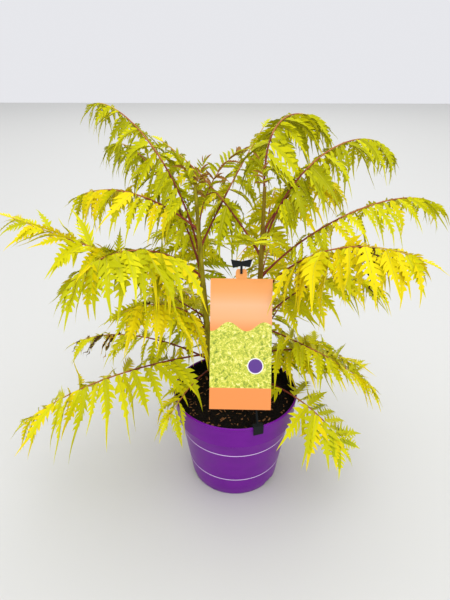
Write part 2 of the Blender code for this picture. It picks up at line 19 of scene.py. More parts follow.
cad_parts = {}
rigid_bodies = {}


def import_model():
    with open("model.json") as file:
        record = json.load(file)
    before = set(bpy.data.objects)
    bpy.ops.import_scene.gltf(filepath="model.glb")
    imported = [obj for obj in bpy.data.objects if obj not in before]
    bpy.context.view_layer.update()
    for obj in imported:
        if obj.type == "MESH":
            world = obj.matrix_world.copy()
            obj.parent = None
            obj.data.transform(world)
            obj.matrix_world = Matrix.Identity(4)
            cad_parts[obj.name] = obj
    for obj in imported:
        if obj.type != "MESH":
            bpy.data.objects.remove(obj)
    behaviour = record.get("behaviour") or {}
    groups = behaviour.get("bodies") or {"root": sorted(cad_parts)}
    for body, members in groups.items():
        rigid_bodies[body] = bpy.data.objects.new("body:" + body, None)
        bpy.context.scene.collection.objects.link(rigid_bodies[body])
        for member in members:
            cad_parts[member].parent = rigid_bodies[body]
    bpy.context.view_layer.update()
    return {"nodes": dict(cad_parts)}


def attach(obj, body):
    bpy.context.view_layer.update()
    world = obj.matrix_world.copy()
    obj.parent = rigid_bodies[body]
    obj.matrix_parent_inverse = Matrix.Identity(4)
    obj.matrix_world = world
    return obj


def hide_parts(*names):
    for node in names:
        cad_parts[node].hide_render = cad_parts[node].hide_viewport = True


LOG = logging.getLogger("potted_sumac")
BODY = "root"
DOWN = Vector((0.0, 0.0, -1.0))
UP = Vector((0.0, 0.0, 1.0))
EVEN = (1.0, 1.0, 1.0)
WELD = 1e-5
TINY = 1e-6
Pair = tuple[float, float]
Triple = tuple[float, float, float]
Colour = Triple


class Tone(Enum):
    """The plain colours that leaf blades are dealt, spray by spray."""

    OLIVE = "olive"
    CHARTREUSE = "chartreuse"
    LIME = "lime"
    LEMON = "lemon"
    GOLD = "gold"
    AMBER = "amber"
    RUSSET = "russet"
    BROWN = "brown"


class Shape(Enum):
    """The leaflet outlines, in the order in which the graph picks them."""

    LEFT_HAND = 0
    RIGHT_HAND = 1
    BROAD = 2
    SLIM = 3
    YOUNG = 4
    WITHERED = 5
    LEFT_SICKLE = 6
    RIGHT_SICKLE = 7


class Layer(Enum):
    """The parts of a leaflet that are spread apart: its middle, its lobes and its rib."""

    BODY = "body"
    LOBES = "lobes"
    RIB = "rib"


class Flesh(Enum):
    """The parts of a midrib, from the stem outwards."""

    FOOT = "foot"
    MIDDLE = "middle"
    TIP = "tip"


# Finishes


def principled(name: str, roughness: float) -> tuple[Material, Node]:
    """Start a material on one Principled shader.

    Args:
        name: the material's name.
        roughness: the value set on the shader's own socket.

    Returns:
        The material and its shader node.
    """
    made = bpy.data.materials.new(name)
    made.use_nodes = True
    shader = made.node_tree.nodes["Principled BSDF"]
    shader.inputs["Roughness"].default_value = roughness
    return made, shader


def set_values(node: Node, values: dict[str, object]) -> Node:
    """Set a node's properties, or its sockets with spaces as underscores.

    Args:
        node: a shader node or one of a Geometry Nodes tree.
        values: what to set, by name.

    Returns:
        The same node.
    """
    for key, value in values.items():
        if hasattr(node, key):
            setattr(node, key, value)
        else:
            node.inputs[key.replace("_", " ")].default_value = value
    return node


def add_node(made: Material, kind: str, **values: object) -> Node:
    """Add a shader node and set its properties or its sockets by name."""
    return set_values(made.node_tree.nodes.new(kind), values)


def link(made: Material, start: NodeSocket, end: NodeSocket) -> None:
    """Join two shader sockets."""
    made.node_tree.links.new(start, end)


def object_noise(made: Material, scale: float, detail: float, stretch: Triple = EVEN) -> Node:
    """Add noise on Object coordinates, stretched along the axes.

    Args:
        made: the material.
        scale: the noise's frequency on a metre.
        detail: its number of octaves.
        stretch: factors along X, Y and Z.

    Returns:
        The noise node.
    """
    place = add_node(made, "ShaderNodeTexCoord")
    mapping = add_node(made, "ShaderNodeMapping", Scale=stretch)
    texture = add_node(made, "ShaderNodeTexNoise", Scale=scale, Detail=detail)
    link(made, place.outputs["Object"], mapping.inputs["Vector"])
    link(made, mapping.outputs["Vector"], texture.inputs["Vector"])
    return texture


def spaced(tones: tuple[Colour, ...], low: float, high: float) -> list[tuple[float, Colour]]:
    """Space tones evenly between two places, as the stops of a ramp."""
    last = len(tones) - 1
    return [(low + (high - low) * i / last, tone) for i, tone in enumerate(tones)]


def ramp_of(made: Material, stops: list[tuple[float, Colour]]) -> Node:
    """Add a colour ramp with the given stops.

    Args:
        made: the material.
        stops: places and colours, in rising order.

    Returns:
        The ramp node.
    """
    node = add_node(made, "ShaderNodeValToRGB")
    steps = node.color_ramp.elements
    while len(steps) < len(stops):
        steps.new(0.5)
    for step, (place, colour) in zip(steps, stops):
        step.position = place
        step.color = (*colour, 1.0)
    return node


def add_bump(made: Material, shader: Node, texture: Node, depth: float) -> None:
    """Raise a texture as relief, with its depth in metres.

    Args:
        made: the material.
        shader: the Principled shader.
        texture: the node whose Fac is the height.
        depth: the relief in metres.
    """
    bump = add_node(made, "ShaderNodeBump", Strength=1.0, Distance=depth)
    link(made, texture.outputs["Fac"], bump.inputs["Height"])
    link(made, bump.outputs["Normal"], shader.inputs["Normal"])


def sum_node(
    made: Material, operation: str, first: NodeSocket, second: NodeSocket | float
) -> NodeSocket:
    """Add a Math node on a socket and a second socket or number.

    Args:
        made: the material.
        operation: the Math node's operation.
        first: the socket on its first input.
        second: the socket or number on its second input.

    Returns:
        The node's result.
    """
    node = add_node(made, "ShaderNodeMath", operation=operation)
    link(made, first, node.inputs[0])
    if isinstance(second, NodeSocket):
        link(made, second, node.inputs[1])
    else:
        node.inputs[1].default_value = second
    return node.outputs[0]


@dataclass(frozen=True)
class BladeFinish:
    """One plain colour with a satin skin and fine puckering, for blades, hairs and print."""

    name: str
    colour: Colour
    roughness: float = 0.55
    specular: float = 0.09
    pucker_scale: float = 420.0
    pucker_detail: float = 3.0
    pucker_depth: float = 0.0004

    def material(self) -> Material:
        """Make the blade's material.

        Returns:
            The material.
        """
        made, shader = principled(self.name, self.roughness)
        shader.inputs["Base Color"].default_value = (*self.colour, 1.0)
        shader.inputs["Specular IOR Level"].default_value = self.specular
        pucker = object_noise(made, self.pucker_scale, self.pucker_detail)
        add_bump(made, shader, pucker, self.pucker_depth)
        return made


@dataclass(frozen=True)
class MottledFinish:
    """A surface of two or more tones mixed by stretched noise, with relief.

    spread: the noise values at the first and last tone. relief: in metres.
    """

    name: str
    tones: tuple[Colour, ...]
    roughness: float
    scale: float
    stretch: Triple = EVEN
    relief: float = 0.0005
    spread: Pair = (0.3, 0.7)
    specular: float = 0.22
    detail: float = 6.0

    def material(self) -> Material:
        """Make the mottled material.

        Returns:
            The material.
        """
        made, shader = principled(self.name, self.roughness)
        shader.inputs["Specular IOR Level"].default_value = self.specular
        texture = object_noise(made, self.scale, self.detail, self.stretch)
        ramp = ramp_of(made, spaced(self.tones, *self.spread))
        link(made, texture.outputs["Fac"], ramp.inputs["Fac"])
        link(made, ramp.outputs["Color"], shader.inputs["Base Color"])
        add_bump(made, shader, texture, self.relief)
        return made


@dataclass(frozen=True)
class GlossPlasticFinish:
    """Moulded plastic with a slightly uneven gloss and faint rubbed patches.

    gloss: the least and greatest roughness. wear_span: the noise values at the first
    colour and the rubbed one. relief: in metres.
    """

    name: str
    colour: Colour
    rubbed: Colour
    gloss: Pair
    relief: float = 0.00006
    specular: float = 0.22
    wear_scale: float = 22.0
    wear_detail: float = 8.0
    wear_stretch: Triple = (1.0, 1.0, 2.2)
    wear_span: Pair = (0.35, 0.80)
    skin_scale: float = 900.0
    skin_detail: float = 2.0

    def material(self) -> Material:
        """Make the plastic's material.

        Returns:
            The material.
        """
        made, shader = principled(self.name, self.gloss[0])
        shader.inputs["Specular IOR Level"].default_value = self.specular
        wear = object_noise(made, self.wear_scale, self.wear_detail, self.wear_stretch)
        ramp = ramp_of(made, [*zip(self.wear_span, (self.colour, self.rubbed))])
        link(made, wear.outputs["Fac"], ramp.inputs["Fac"])
        link(made, ramp.outputs["Color"], shader.inputs["Base Color"])
        spread = add_node(made, "ShaderNodeMapRange", To_Min=self.gloss[0], To_Max=self.gloss[1])
        link(made, wear.outputs["Fac"], spread.inputs["Value"])
        link(made, spread.outputs["Result"], shader.inputs["Roughness"])
        skin = object_noise(made, self.skin_scale, self.skin_detail)
        add_bump(made, shader, skin, self.relief)
        return made


@dataclass(frozen=True)
class CardPrintFinish:
    """Coated card: an orange fade, dappled greens, a plain dot and a plain band.

    The pattern is read from the card's own UV map, with V up along the card. Places and
    radii are shares of the card's width or length. slimness: the length over the width.
    """

    name: str
    fade: tuple[Colour, ...]
    greens: tuple[Colour, ...]
    dot: Colour
    white: Colour
    roughness: float = 0.38
    slimness: float = 2.125
    band_top: float = 0.165
    horizon: float = 0.60
    dot_place: Pair = (0.74, 0.335)
    dot_radius: float = 0.115
    dot_ring: float = 1.14
    grain_scale: float = 1500.0
    grain_detail: float = 2.0
    grain_depth: float = 0.00002
    dapple_scale: Triple = (15.0, 34.0, 1.0)
    dapple_detail: float = 9.0
    dapple_roughness: float = 0.78
    dapple_twist: float = 0.8
    dapple_span: Pair = (0.36, 0.64)
    wave_scale: float = 0.55
    wave_twist: float = 1.5
    wave_height: float = 0.07

    def material(self) -> Material:
        """Make the printed card's material.

        Returns:
            The material.
        """
        made, shader = principled(self.name, self.roughness)
        place = add_node(made, "ShaderNodeTexCoord")
        parts = add_node(made, "ShaderNodeSeparateXYZ")
        link(made, place.outputs["UV"], parts.inputs["Vector"])
        across, up = parts.outputs["X"], parts.outputs["Y"]
        sky = self.sky(made, up)
        hills = self.meadow(made, place.outputs["UV"])
        edge = self.wavy_edge(made, place.outputs["UV"], up)
        picture = self.mixed(made, edge, sky, hills)
        ring = self.disc(made, across, up, self.dot_radius * self.dot_ring)
        disc = self.disc(made, across, up, self.dot_radius)
        dotted = self.mixed(made, disc, self.mixed(made, ring, picture, self.white), self.dot)
        band = self.below(made, up, self.band_top)
        whole = self.mixed(made, band, dotted, self.fade[0])
        link(made, whole, shader.inputs["Base Color"])
        grain = object_noise(made, self.grain_scale, self.grain_detail)
        add_bump(made, shader, grain, self.grain_depth)
        return made

    def sky(self, made: Material, up: NodeSocket) -> NodeSocket:
        """Fade the upper part of the card from orange to peach and back.

        Args:
            made: the material.
            up: the share of the way up the card.

        Returns:
            The colour socket.
        """
        ramp = ramp_of(made, spaced(self.fade, self.horizon, 1.0))
        link(made, up, ramp.inputs["Fac"])
        return ramp.outputs["Color"]

    def meadow(self, made: Material, place: NodeSocket) -> NodeSocket:
        """Fill the lower part with a soft dapple in greens.

        Args:
            made: the material.
            place: the card's UV vector.

        Returns:
            The colour socket.
        """
        mapping = add_node(made, "ShaderNodeMapping", Scale=self.dapple_scale)
        dapple = add_node(
            made,
            "ShaderNodeTexNoise",
            Scale=1.0,
            Detail=self.dapple_detail,
            Roughness=self.dapple_roughness,
            Distortion=self.dapple_twist,
        )
        ramp = ramp_of(made, spaced(self.greens, *self.dapple_span))
        link(made, place, mapping.inputs["Vector"])
        link(made, mapping.outputs["Vector"], dapple.inputs["Vector"])
        link(made, dapple.outputs["Fac"], ramp.inputs["Fac"])
        return ramp.outputs["Color"]

    def wavy_edge(self, made: Material, place: NodeSocket, up: NodeSocket) -> NodeSocket:
        """Part the fade from the greens along a slow wave.

        Args:
            made: the material.
            place: the card's UV vector.
            up: the share of the way up the card.

        Returns:
            A socket that is 1 among the greens and 0 in the fade.
        """
        wave = add_node(
            made, "ShaderNodeTexWave", Scale=self.wave_scale, Distortion=self.wave_twist, Detail=1.0
        )
        link(made, place, wave.inputs["Vector"])
        lift = sum_node(made, "MULTIPLY", wave.outputs["Fac"], self.wave_height)
        return self.below(made, sum_node(made, "SUBTRACT", up, lift), self.horizon)

    def disc(
        self, made: Material, across: NodeSocket, up: NodeSocket, radius: float
    ) -> NodeSocket:
        """Mark a round dot, corrected for the card's slim shape.

        Args:
            made: the material.
            across: the share of the way across the card.
            up: the share of the way up the card.
            radius: as a share of the card's width.

        Returns:
            A socket that is 1 inside the dot and 0 outside.
        """
        squares = []
        for value, middle, stretch in zip((across, up), self.dot_place, (1.0, self.slimness)):
            scaled = sum_node(made, "MULTIPLY", sum_node(made, "SUBTRACT", value, middle), stretch)
            squares.append(sum_node(made, "POWER", scaled, 2.0))
        return self.below(made, sum_node(made, "ADD", *squares), radius**2)

    def below(self, made: Material, value: NodeSocket, limit: float) -> NodeSocket:
        """Compare a value with a limit: 1 below it, 0 above."""
        return sum_node(made, "LESS_THAN", value, limit)

    def mixed(
        self,
        made: Material,
        share: NodeSocket,
        low: NodeSocket | Colour,
        high: NodeSocket | Colour,
    ) -> NodeSocket:
        """Mix two colours, each a socket or a plain colour, by a share.

        Args:
            made: the material.
            share: 0 for the low colour, 1 for the high one.
            low: the colour at 0.
            high: the colour at 1.

        Returns:
            The colour socket.
        """
        node = add_node(made, "ShaderNodeMix", data_type="RGBA")
        link(made, share, node.inputs[0])
        for socket, value in ((node.inputs[6], low), (node.inputs[7], high)):
            if isinstance(value, NodeSocket):
                link(made, value, socket)
            else:
                socket.default_value = (*value, 1.0)
        return node.outputs[2]


BLADES = {
    Tone.OLIVE: BladeFinish("blade_olive", (0.400, 0.405, 0.003)),
    Tone.CHARTREUSE: BladeFinish("blade_chartreuse", (0.560, 0.560, 0.003)),
    Tone.LIME: BladeFinish("blade_lime", (0.410, 0.460, 0.003)),
    Tone.LEMON: BladeFinish("blade_lemon", (0.700, 0.665, 0.003)),
    Tone.GOLD: BladeFinish("blade_gold", (0.830, 0.680, 0.003)),
    Tone.AMBER: BladeFinish("blade_amber", (0.640, 0.380, 0.015)),
    Tone.RUSSET: BladeFinish("blade_russet", (0.340, 0.160, 0.030)),
    Tone.BROWN: BladeFinish("blade_brown", (0.100, 0.050, 0.015), 0.7),
}
EDGES = {
    Tone.OLIVE: Tone.CHARTREUSE,
    Tone.CHARTREUSE: Tone.LEMON,
    Tone.LIME: Tone.LEMON,
    Tone.LEMON: Tone.GOLD,
    Tone.AMBER: Tone.GOLD,
    Tone.BROWN: Tone.AMBER,
}
RIB_PALE = BladeFinish("rib_pale", (0.58, 0.54, 0.05))
MIDRIBS = {
    Flesh.FOOT: MottledFinish("midrib_crimson", ((0.14, 0.016, 0.012), (0.27, 0.05, 0.02)), 0.5, 160.0),
    Flesh.MIDDLE: MottledFinish("midrib_brick", ((0.34, 0.09, 0.03), (0.48, 0.18, 0.05)), 0.5, 160.0),
    Flesh.TIP: MottledFinish("midrib_straw", ((0.56, 0.30, 0.06), (0.62, 0.46, 0.05)), 0.5, 160.0),
}
BARK = MottledFinish(
    "bark_olive",
    ((0.110, 0.080, 0.005), (0.29, 0.25, 0.008), (0.44, 0.39, 0.012)),
    0.72,
    130.0,
    (1.0, 1.0, 0.22),
    0.0006,
)
YOUNG_BARK = MottledFinish(
    "bark_young", ((0.13, 0.06, 0.006), (0.30, 0.23, 0.008)), 0.7, 110.0, (1.0, 1.0, 0.3)
)
FUZZ = BladeFinish("velvet_hairs", (0.40, 0.33, 0.02), 0.8)
PURPLE = GlossPlasticFinish("pot_purple", (0.150, 0.0010, 0.270), (0.185, 0.003, 0.320), (0.24, 0.40))
PRINT = BladeFinish("print_lilac", (0.84, 0.70, 0.95), 0.4)
BLACK = GlossPlasticFinish("holder_black", (0.0015, 0.0030, 0.0035), (0.004, 0.007, 0.008), (0.50, 0.70))
MIX = MottledFinish(
    "mix_dark", ((0.0010, 0.0007, 0.0004), (0.008, 0.005, 0.003)), 0.95, 300.0, relief=0.002
)
CHIP_DARK = MottledFinish("chip_dark", ((0.004, 0.0025, 0.0015), (0.022, 0.011, 0.006)), 0.9, 500.0)
CHIP_TAN = MottledFinish("chip_tan", ((0.16, 0.06, 0.022), (0.40, 0.20, 0.08)), 0.85, 500.0)
CARD = CardPrintFinish(
    "card_print",
    ((0.90, 0.28, 0.060), (0.92, 0.43, 0.18), (0.92, 0.48, 0.24), (0.92, 0.37, 0.10), (0.90, 0.33, 0.055)),
    ((0.10, 0.17, 0.01), (0.42, 0.50, 0.02), (0.80, 0.77, 0.08), (0.95, 0.92, 0.50)),
    (0.09, 0.015, 0.25),
    (0.90, 0.86, 0.88),
)


# Mesh helpers


def link_object(name: str, mesh: bpy.types.Mesh) -> Object:
    """Make an object of a mesh, linked to the scene.

    Args:
        name: the object's name.
        mesh: its mesh.

    Returns:
        The object.
    """
    made = bpy.data.objects.new(name, mesh)
    bpy.context.scene.collection.objects.link(made)
    return made


def free_object(name: str, work: bmesh.types.BMesh) -> Object:
    """Turn a finished bmesh into an object that is linked nowhere yet.

    Args:
        name: the object's name.
        work: the bmesh, which is freed.

    Returns:
        The object.
    """
    mesh = bpy.data.meshes.new(name)
    work.to_mesh(mesh)
    work.free()
    return bpy.data.objects.new(name, mesh)


def add_mesh(name: str, corners: list, faces: list, finish: Material | None = None) -> Object:
    """Make a linked mesh object from corners and faces.

    Args:
        name: the object's name.
        corners: the points.
        faces: the faces, each a tuple of corner numbers.
        finish: the material, or None.

    Returns:
        The new object, at the origin.
    """
    mesh = bpy.data.meshes.new(name)
    mesh.from_pydata(corners, [], faces)
    mesh.validate()
    if finish is not None:
        mesh.materials.append(finish)
    return link_object(name, mesh)


def settle(made: Object) -> Object:
    """Turn an object's modifiers and place into a plain mesh at the origin.

    Args:
        made: the object.

    Returns:
        The same object.
    """
    bpy.context.view_layer.update()
    graph = bpy.context.evaluated_depsgraph_get()
    mesh = bpy.data.meshes.new_from_object(made.evaluated_get(graph), depsgraph=graph)
    mesh.transform(made.matrix_world)
    made.modifiers.clear()
    made.data = mesh
    made.matrix_world = Matrix.Identity(4)
    return made


def round_off(made: Object, angle: float) -> Object:
    """Shade an object smooth, with edges over an angle in degrees kept sharp.

    Args:
        made: the object.
        angle: in degrees.

    Returns:
        The same object.
    """
    work = bmesh.new()
    work.from_mesh(made.data)
    for face in work.faces:
        face.smooth = True
    for edge in work.edges:
        edge.smooth = len(edge.link_faces) != 2 or edge.calc_face_angle() < math.radians(angle)
    work.to_mesh(made.data)
    work.free()
    return made


def turned(name: str, profile: list[Pair], steps: int, finish: Material) -> Object:
    """Turn a profile of (radius, height) points about Z into a closed, outward mesh.

    Args:
        name: the object's name.
        profile: the points in order.
        steps: how many make a full turn.
        finish: the material.

    Returns:
        The object.
    """
    mesh = bpy.data.meshes.new(name)
    edges = [(i, i + 1) for i in range(len(profile) - 1)]
    mesh.from_pydata([(radius, 0.0, height) for radius, height in profile], edges, [])
    made = link_object(name, mesh)
    screw = made.modifiers.new("turn", "SCREW")
    screw.steps = screw.render_steps = steps
    screw.use_merge_vertices = True
    screw.merge_threshold = WELD
    settle(made)
    work = bmesh.new()
    work.from_mesh(made.data)
    bmesh.ops.remove_doubles(work, verts=work.verts, dist=WELD)
    bmesh.ops.recalc_face_normals(work, faces=work.faces)
    work.to_mesh(made.data)
    work.free()
    made.data.materials.clear()
    made.data.materials.append(finish)
    return made


def join(name: str, parts: list[Object]) -> Object:
    """Join meshes of one finish into one object.

    Args:
        name: the object's name.
        parts: the objects, which are removed.

    Returns:
        The object.
    """
    work = bmesh.new()
    finish = parts[0].data.materials[0]
    for part in parts:
        work.from_mesh(part.data)
        bpy.data.objects.remove(part)
    made = free_object(name, work)
    made.data.materials.append(finish)
    bpy.context.scene.collection.objects.link(made)
    return made


def mount(piece: Object, slot: str, *nodes: str) -> Object:
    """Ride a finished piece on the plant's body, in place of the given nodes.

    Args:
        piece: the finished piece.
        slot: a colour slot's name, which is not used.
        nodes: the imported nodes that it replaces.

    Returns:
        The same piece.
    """
    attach(piece, BODY)
    if nodes:
        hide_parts(*nodes)
    LOG.info("%s: %d faces", piece.name, len(piece.data.polygons))
    return piece


class Graph:
    """A Geometry Nodes tree with named inputs, run once and turned into a plain mesh."""

    def __init__(self, name: str) -> None:
        """Start a tree that takes and gives one geometry.

        Args:
            name: the tree's name.
        """
        self.tree = bpy.data.node_groups.new(name, "GeometryNodeTree")
        self.identifiers: dict[str, str] = {}
        self.tree.interface.new_socket("Geometry", in_out="INPUT", socket_type="NodeSocketGeometry")
        self.tree.interface.new_socket("Geometry", in_out="OUTPUT", socket_type="NodeSocketGeometry")
        self.start = self.tree.nodes.new("NodeGroupInput")
        self.end = self.tree.nodes.new("NodeGroupOutput")

    def input(self, name: str, kind: str) -> str:
        """Add a named input and return its name, for use in wire.

        Args:
            name: the input's name.
            kind: its socket type.

        Returns:
            The input's name.
        """
        socket = self.tree.interface.new_socket(name, in_out="INPUT", socket_type=kind)
        self.identifiers[name] = socket.identifier
        return name

    def node(self, kind: str, **values: object) -> Node:
        """Add a node and set its properties or its sockets by name."""
        return set_values(self.tree.nodes.new(kind), values)

    def named(self, attribute: str, kind: str) -> NodeSocket:
        """Read a named attribute of the geometry.

        Args:
            attribute: the attribute's name.
            kind: its data type.

        Returns:
            The attribute's socket.
        """
        node = self.node("GeometryNodeInputNamedAttribute", data_type=kind)
        node.inputs["Name"].default_value = attribute
        return next(out for out in node.outputs if out.enabled and out.name == "Attribute")

    def wire(self, start: NodeSocket | str, end: NodeSocket) -> None:
        """Join two sockets, or a named input to a socket.

        Args:
            start: a socket, or an input's name.
            end: the socket to feed.
        """
        if isinstance(start, str):
            start = self.start.outputs[start]
        self.tree.links.new(start, end)

    def finish(self, geometry: NodeSocket, smooth: bool = True) -> None:
        """End the tree with realized instances, shading and the material input.

        Args:
            geometry: the socket with the geometry.
            smooth: whether faces shade smooth.
        """
        realize = self.node("GeometryNodeRealizeInstances")
        self.wire(geometry, realize.inputs["Geometry"])
        shade = self.node("GeometryNodeSetShadeSmooth", Shade_Smooth=smooth)
        paint = self.node("GeometryNodeSetMaterial")
        self.wire(realize.outputs["Geometry"], shade.inputs["Geometry"])
        self.wire(shade.outputs["Geometry"], paint.inputs["Geometry"])
        self.wire(self.input("Finish", "NodeSocketMaterial"), paint.inputs["Material"])
        self.wire(paint.outputs["Geometry"], self.end.inputs["Geometry"])

    def run(self, base: Object, **values: object) -> Object:
        """Run the tree on an object and keep the result as its plain mesh.

        Args:
            base: the object, which keeps the result.
            values: the named inputs, Finish among them.

        Returns:
            The same object.
        """
        modifier = base.modifiers.new(self.tree.name, "NODES")
        modifier.node_group = self.tree
        for name, value in values.items():
            modifier[self.identifiers[name]] = value
        finish = values["Finish"]
        settle(base)
        base.data.materials.clear()
        base.data.materials.append(finish)
        for face in base.data.polygons:
            face.material_index = 0
        return base


def scatter_graph(name: str) -> Graph:
    """A tree that scatters the pieces of a collection over a surface.

    Its inputs are Pieces, Density for each square metre, Smallest and Largest as
    scales, Lean in radians and Seed.

    Args:
        name: the tree's name.

    Returns:
        The tree.
    """
    graph = Graph(name)
    pieces = graph.input("Pieces", "NodeSocketCollection")
    density = graph.input("Density", "NodeSocketFloat")
    smallest = graph.input("Smallest", "NodeSocketFloat")
    largest = graph.input("Largest", "NodeSocketFloat")
    lean = graph.input("Lean", "NodeSocketFloat")
    seed = graph.input("Seed", "NodeSocketInt")
    spots = graph.node("GeometryNodeDistributePointsOnFaces")
    graph.wire("Geometry", spots.inputs["Mesh"])
    graph.wire(density, spots.inputs["Density"])
    graph.wire(seed, spots.inputs["Seed"])
    source = graph.node("GeometryNodeCollectionInfo", Separate_Children=True, Reset_Children=True)
    graph.wire(pieces, source.inputs["Collection"])
    size = graph.node("FunctionNodeRandomValue", data_type="FLOAT")
    low, high = [s for s in size.inputs if s.enabled and s.name in ("Min", "Max")]
    graph.wire(smallest, low)
    graph.wire(largest, high)
    turn = graph.node("FunctionNodeRandomValue", data_type="FLOAT_VECTOR")
    back = graph.node("ShaderNodeMath", operation="MULTIPLY")
    back.inputs[1].default_value = -1.0
    graph.wire(lean, back.inputs[0])
    ends = [s for s in turn.inputs if s.enabled and s.name in ("Min", "Max")]
    for end, value, about in ((ends[0], back.outputs[0], -math.pi), (ends[1], lean, math.pi)):
        limit = graph.node("ShaderNodeCombineXYZ", Z=about)
        graph.wire(value, limit.inputs["X"])
        graph.wire(value, limit.inputs["Y"])
        graph.wire(limit.outputs["Vector"], end)
    turned_spot = graph.node("FunctionNodeRotateRotation", rotation_space="LOCAL")
    graph.wire(spots.outputs["Rotation"], turned_spot.inputs["Rotation"])
    graph.wire(turn.outputs[0], turned_spot.inputs["Rotate By"])
    put = graph.node("GeometryNodeInstanceOnPoints", Pick_Instance=True)
    graph.wire(spots.outputs["Points"], put.inputs["Points"])
    graph.wire(source.outputs["Instances"], put.inputs["Instance"])
    graph.wire(turned_spot.outputs["Rotation"], put.inputs["Rotation"])
    graph.wire(next(o for o in size.outputs if o.enabled), put.inputs["Scale"])
    graph.finish(put.outputs["Instances"], smooth=False)
    return graph


def leaflet_graph() -> Graph:
    """A tree that sets leaflets on points and bends each one towards the ground.

    Its input Patterns is the collection of outlines. The points carry shape, turn,
    size and bend, and each outline carries reach, the share of the way to its tip.

    Returns:
        The tree.
    """
    graph = Graph("leaflets")
    patterns = graph.input("Patterns", "NodeSocketCollection")
    source = graph.node("GeometryNodeCollectionInfo", Separate_Children=True, Reset_Children=True)
    graph.wire(patterns, source.inputs["Collection"])
    turn = graph.node("FunctionNodeEulerToRotation")
    graph.wire(graph.named("turn", "FLOAT_VECTOR"), turn.inputs["Euler"])
    put = graph.node("GeometryNodeInstanceOnPoints", Pick_Instance=True)
    graph.wire("Geometry", put.inputs["Points"])
    graph.wire(source.outputs["Instances"], put.inputs["Instance"])
    graph.wire(graph.named("shape", "INT"), put.inputs["Instance Index"])
    graph.wire(turn.outputs["Rotation"], put.inputs["Rotation"])
    graph.wire(graph.named("size", "FLOAT_VECTOR"), put.inputs["Scale"])
    realize = graph.node("GeometryNodeRealizeInstances")
    graph.wire(put.outputs["Instances"], realize.inputs["Geometry"])
    square = graph.node("ShaderNodeMath", operation="POWER")
    square.inputs[1].default_value = 2.0
    graph.wire(graph.named("reach", "FLOAT"), square.inputs[0])
    scaled = graph.node("ShaderNodeVectorMath", operation="SCALE")
    graph.wire(graph.named("bend", "FLOAT_VECTOR"), scaled.inputs[0])
    graph.wire(square.outputs[0], scaled.inputs["Scale"])
    move = graph.node("GeometryNodeSetPosition")
    graph.wire(realize.outputs["Geometry"], move.inputs["Geometry"])
    graph.wire(scaled.outputs[0], move.inputs["Offset"])
    graph.finish(move.outputs["Geometry"])
    return graph


def twig_graph() -> Graph:
    """A tree that sweeps a circle along polylines whose points carry girth, their radius.

    Its input Sides is the number of sides of each twig.

    Returns:
        The tree.
    """
    graph = Graph("twigs")
    sides = graph.input("Sides", "NodeSocketInt")
    lines = graph.node("GeometryNodeMeshToCurve")
    graph.wire("Geometry", lines.inputs["Mesh"])
    ring = graph.node("GeometryNodeCurvePrimitiveCircle", mode="RADIUS", Radius=1.0)
    graph.wire(sides, ring.inputs["Resolution"])
    sweep = graph.node("GeometryNodeCurveToMesh", Fill_Caps=True)
    graph.wire(lines.outputs["Curve"], sweep.inputs["Curve"])
    graph.wire(ring.outputs["Curve"], sweep.inputs["Profile Curve"])
    graph.wire(graph.named("girth", "FLOAT"), sweep.inputs["Scale"])
    graph.finish(sweep.outputs["Mesh"])
    return graph


def cloud(name: str, spots: list[Vector], **values: list) -> Object:
    """Make a mesh of loose points with named attributes.

    Args:
        name: the object's name.
        spots: the points.
        values: a list of values for each attribute.

    Returns:
        The object.
    """
    made = add_mesh(name, spots, [])
    for key, column in values.items():
        kind = "FLOAT"
        if isinstance(column[0], int):
            kind = "INT"
        elif isinstance(column[0], Vector):
            kind = "FLOAT_VECTOR"
        layer = made.data.attributes.new(key, kind, "POINT")
        for item, value in zip(layer.data, column):
            if kind == "FLOAT_VECTOR":
                item.vector = value
            else:
                item.value = value
    return made


# Growing rules, as in the part's source but for the lengths of right_04 and left_10


@dataclass(frozen=True)
class Frond:
    """One compound leaf, in the terms of the part's source, with its colours.

    height, heading: of its foot. rise, end: the midrib's slope at foot and tip, in
    degrees. sweep: how far the heading turns. leaflet: the longest leaflet. sag: how
    far leaflet tips turn down. tones: dealt at random to the leaflets, outer ones from
    the end of the list. perky: the share of leaflets that stand up instead. fan: the
    angle that the first leaflets stand off the midrib. wide: their width against the
    usual. gap: the distance between their pairs against the usual.
    """

    height: float
    heading: float
    rise: float
    end: float
    length: float
    sweep: float
    leaflet: float
    sag: float
    tones: tuple[Tone, ...]
    perky: float = 0.06
    fan: float = 98.0
    wide: float = 1.0
    gap: float = 1.0


@dataclass(frozen=True)
class Stem:
    """One upright stem: its foot, its lean along X and its fronds from the top down."""

    side: str
    foot_x: float
    foot_y: float
    lean: float
    fronds: tuple[Frond, ...]
    mix_top: float = 0.170
    top: float = 0.570
    foot_radius: float = 0.0105
    base_radius: float = 0.0068
    tip_radius: float = 0.0026
    flare_height: float = 0.022
    taper: float = 1.15
    lean_power: float = 0.62

    def share(self, height: float) -> float:
        """The share of the way from the mix to the tip."""
        return max(0.0, (height - self.mix_top) / (self.top - self.mix_top))

    def point(self, height: float) -> Vector:
        """The stem's middle at a height."""
        drift = self.lean * self.share(height) ** self.lean_power
        return Vector((self.foot_x + drift, self.foot_y, height))

    def radius(self, height: float) -> float:
        """The stem's radius at a height, with the flare at its foot.

        Args:
            height: above the ground, in metres.

        Returns:
            The radius in metres.
        """
        slim = self.base_radius + (self.tip_radius - self.base_radius) * self.share(height) ** self.taper
        flare = max(0.0, 1.0 - (height - self.mix_top) / self.flare_height) ** 2
        return slim + (self.foot_radius - self.base_radius) * flare


# The tones' first letters keep each frond below on one line, with Y for the yellow of lemon
O, C, L, Y, G, A, R, B = Tone
